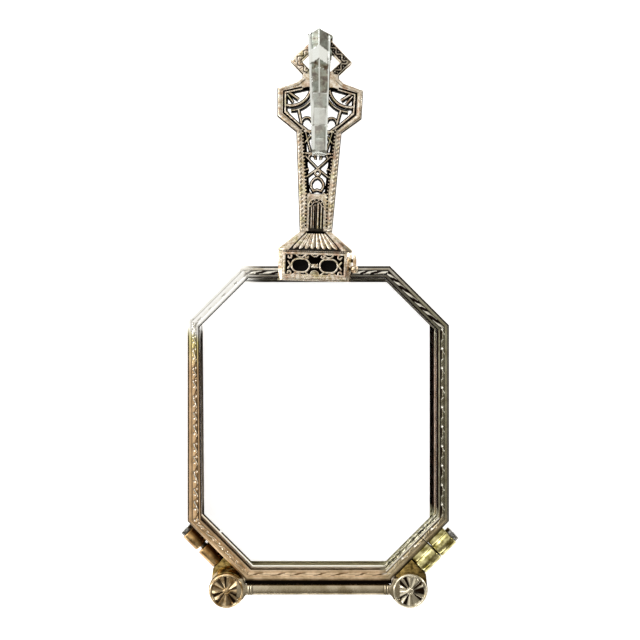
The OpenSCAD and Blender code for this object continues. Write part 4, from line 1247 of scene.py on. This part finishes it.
def bail_face(u, v):
    """Height lost under the bail's ridge at a place on its face, and its painted highlight, 0 to
    1.
    """
    chevron = v + (0.1 + 0.55 * smooth_step(25.5, 27.0, v)) * abs(u)
    above = BAIL_TOP_V
    for end, fall, pale in BAIL_FACETS:
        if chevron > end:
            break
        above = end
    head = end == BAIL_FACETS[0][0]
    share = (chevron - end) / (above - end)
    level = abs(fall) * (share if fall > 0 else 1 - share)
    line = tent(min(share, 1 - share) * (above - end), 0.1) * (end < 26)
    edge = BAIL_FOOT_W / 2 + (BAIL_W - BAIL_FOOT_W) / 2 * smooth_step(15, 30.5, v) - 0.17
    edge -= 0.2 * (u < 0)
    edge_here = smooth_step(edge - 0.03, edge + 0.03, abs(u))
    side = (0.12 if head else 0.06) * abs(u) + 0.04 * line + 0.06 * tent(abs(u) - edge, 0.06)
    # Painted highlights: the head's left side kept darker, facet borders, edges and the ridge pale
    if head and u < 0:
        pale = 0.1
    ridge = abs(u) < 0.06 and end > 23
    pale = max(pale, 0.9 * line, 0.9 * edge_here, 0.9 * ridge)
    return level + side * (1 - 0.6 * edge_here), pale


# How far apart the bail's patches of painted reflection are, in millimetres
REFLECTION_PATCH_STEP = 1.1


def bail_gold():
    """White gold, hammered: grey with bluish and brown patches of painted reflection, and painted
    nearly white as a highlight where the mesh attribute pale says."""
    metal = worn_gold("bail_white_gold_hammered", "#a9a99c", "#6b6656", "#3f392c", 0.16, 0.55)
    tree = metal[1]
    painted_reflection_patches = add(tree, "ShaderNodeTexNoise", {"Vector": in_mm(tree)}, Scale=1 / REFLECTION_PATCH_STEP,
                 Detail=3.0)
    painted_reflection_patches = add(tree, "ShaderNodeValToRGB", {"Fac": painted_reflection_patches},
                 [(0.42, "#dfe9e8"), (0.52, "#f0efe6"), (0.6, "#b9a296")])
    retoned(metal, 1.0, painted_reflection_patches, TIMES)
    # Painted highlight where the mesh attribute pale is set
    polished = add(tree, "ShaderNodeAttribute", attribute_name="pale").outputs["Fac"]
    return retoned(metal, polished, "#f4f7f2", OVER)


def make_bail():
    """The bail keeps its packed loop; its face is hammered into facets."""
    mesh = softened("bail", 0.05, angle=12)
    mesh.transform((Matrix.Scale(MM, 4) @ HANDLE).inverted())
    bm = bmesh.new()
    bm.from_mesh(mesh)
    # Slices close enough for the facets to have points to stand on
    per_mm = 8
    foot, top = int(BAIL_FOOT_V * per_mm) - 1, round(BAIL_TOP_V * per_mm)
    edge = round(BAIL_W / 2 * per_mm)
    cuts = [((0, v / per_mm, 0), (0, 1, 0)) for v in range(foot, top)]
    cuts += [((u / per_mm, 0, 0), (1, 0, 0)) for u in range(1 - edge, edge)]
    cuts += [((0, 0, z), (0, 0, 1)) for z in (BAIL_PLATE_Z - 0.5, BAIL_PLATE_Z)]
    for at, normal in cuts:
        bmesh.ops.bisect_plane(bm, geom=bm.verts[:] + bm.edges[:] + bm.faces[:], plane_co=at,
                               plane_no=normal, dist=1e-4)
    layer = bm.verts.layers.float.new("pale")
    slope = (BAIL_FRONT - BAIL_EDGE) / (BAIL_W / 2)
    for vert in bm.verts:
        u, v, z = vert.co
        on_plate = z > BAIL_PLATE_Z - 0.01
        face = BAIL_FRONT - max(slope * abs(u), v - (BAIL_TOP_V - 0.586))
        if z > face - 0.1 and v > BAIL_FOOT_V + 0.35:
            drop, vert[layer] = bail_face(u, v)
            vert.co.z = BAIL_FRONT - drop
        if on_plate:
            vert.co.y -= BAIL_FOOT_MORE * (1 - smooth_step(0, 1.5, v - BAIL_FOOT_V))
            # The foot's end is marked pale: a painted highlight
            if v < BAIL_FOOT_V + 0.36:
                vert[layer] = 0.6
        gable = 0.3 + 0.7 * abs(u) if on_plate else 0.12 + 0.5 * abs(u)
        vert.co.y = min(vert.co.y, BAIL_TOP_V - gable)
        lean = BAIL_LEAN_FOOT + (BAIL_LEAN_TOP - BAIL_LEAN_FOOT) * (
            (v - BAIL_FOOT_V) / (BAIL_TOP_V - BAIL_FOOT_V))
        vert.co.x += lean * smooth_step(BAIL_PLATE_Z - 0.5, BAIL_PLATE_Z, z)
    bmesh.ops.triangulate(bm, faces=bm.faces)
    bm.to_mesh(mesh)
    bm.free()
    finished("bail_hammered", mesh, "bail", bail_gold(), HANDLE, ["bail"],
             smooth=22)


# Stage


# Direction from the part to the window
TO_WINDOW = (-0.58, 0.5, 0.64)


def make_floor():
    """White card under the part: its shadow shows on it, and it is white to the eye, to gloss
    and through glass."""
    mesh = bpy.data.meshes.new("floor")
    span, low = 1.5, -0.0003
    mesh.from_pydata([(-span, -span, low), (span, -span, low), (span, span, low),
                      (-span, span, low)], [], [(0, 1, 2, 3)])
    material, tree, bsdf = new_material("floor_matt_white_card", Roughness=0.9,
                                        Base_Color=linear("#f4f4f2"))
    path = add(tree, "ShaderNodeLightPath").outputs
    seen = add(tree, "ShaderNodeMath", {0: path["Is Camera Ray"], 1: path["Is Glossy Ray"]},
               operation="MAXIMUM")
    seen = add(tree, "ShaderNodeMath", {0: seen, 1: path["Is Transmission Ray"]},
               operation="MAXIMUM")
    glow = add(tree, "ShaderNodeEmission", Strength=0.8)
    lit = add(tree, "ShaderNodeAddShader", {0: bsdf, 1: glow})
    choice = add(tree, "ShaderNodeMixShader", {0: seen, 1: bsdf, 2: lit})
    tree.links.new(choice.outputs[0], tree.nodes["Material Output"].inputs["Surface"])
    mesh.materials.append(material)
    stand = linked("floor", mesh)


def make_sky():
    """A room for the metal to mirror, bright towards the window at the upper left, and white
    behind the part."""
    world = bpy.data.worlds.new("studio")
    bpy.context.scene.world = world
    world.use_nodes = True
    tree = world.node_tree
    sky = tree.nodes["Background"]
    where = add(tree, "ShaderNodeTexCoord").outputs["Generated"]
    toward = add(tree, "ShaderNodeVectorMath", {0: where, 1: TO_WINDOW}, operation="DOT_PRODUCT")
    tone = add(tree, "ShaderNodeValToRGB", {"Fac": toward},
               [(0.0, "#9d9992"), (0.32, "#78746c"), (0.5, "#aeaaa3"), (0.64, "#f2efea"),
                (0.86, "#f6f5f2"), (0.97, "#ffffff")])
    tree.links.new(tone.outputs[0], sky.inputs["Color"])
    sky.inputs["Strength"].default_value = 1.0
    white = add(tree, "ShaderNodeBackground", Strength=1.0)
    path = add(tree, "ShaderNodeLightPath").outputs
    choice = add(tree, "ShaderNodeMixShader", {0: path["Is Camera Ray"], 1: sky, 2: white})
    tree.links.new(choice.outputs[0], tree.nodes["World Output"].inputs["Surface"])


def soft_lamp(name, at, size, watts):
    """A rectangular lamp that looks at the middle of the part."""
    data = bpy.data.lights.new(name, "AREA")
    data.shape = "RECTANGLE"
    data.size, data.size_y = size
    data.energy = watts
    lamp = linked(name, data)
    lamp.location = at
    lamp.rotation_euler = (-Vector(at)).to_track_quat("-Z", "Y").to_euler()


def make_lamps():
    soft_lamp("window_upper_left", (-0.4, 0.34, 0.34), (0.36, 0.3), 0.9)
    soft_lamp("strip_left", (-0.5, -0.05, 0.2), (0.08, 0.5), 0.7)
    soft_lamp("strip_front", (0.1, -0.55, 0.3), (0.5, 0.08), 0.6)
    soft_lamp("strip_right", (0.5, 0.15, 0.22), (0.06, 0.4), 0.4)


# The place on the part that the middle of the photograph shows, in millimetres
SEEN_MIDDLE = (0.22, -0.215)


def make_camera():
    """Straight above the front face, as near as the photograph was taken."""
    height, seen_width, sensor = 105.0, 80.0, 36.0
    data = bpy.data.cameras.new("camera")
    data.sensor_width = sensor
    data.lens = sensor * height / seen_width
    data.clip_start, data.clip_end = 0.005, 10
    camera = linked("camera", data)
    camera.location = [v * MM for v in (*SEEN_MIDDLE, FRONT_TOP + height)]
    bpy.context.scene.camera = camera


bpy.context.scene.view_settings.view_transform = "Standard"
make_floor()
make_sky()
make_lamps()
make_camera()
make_rims()
make_bridge()
make_fittings()
make_lenses()
white_gold = handle_gold()
make_handle(white_gold)
make_block(white_gold)
make_bail()
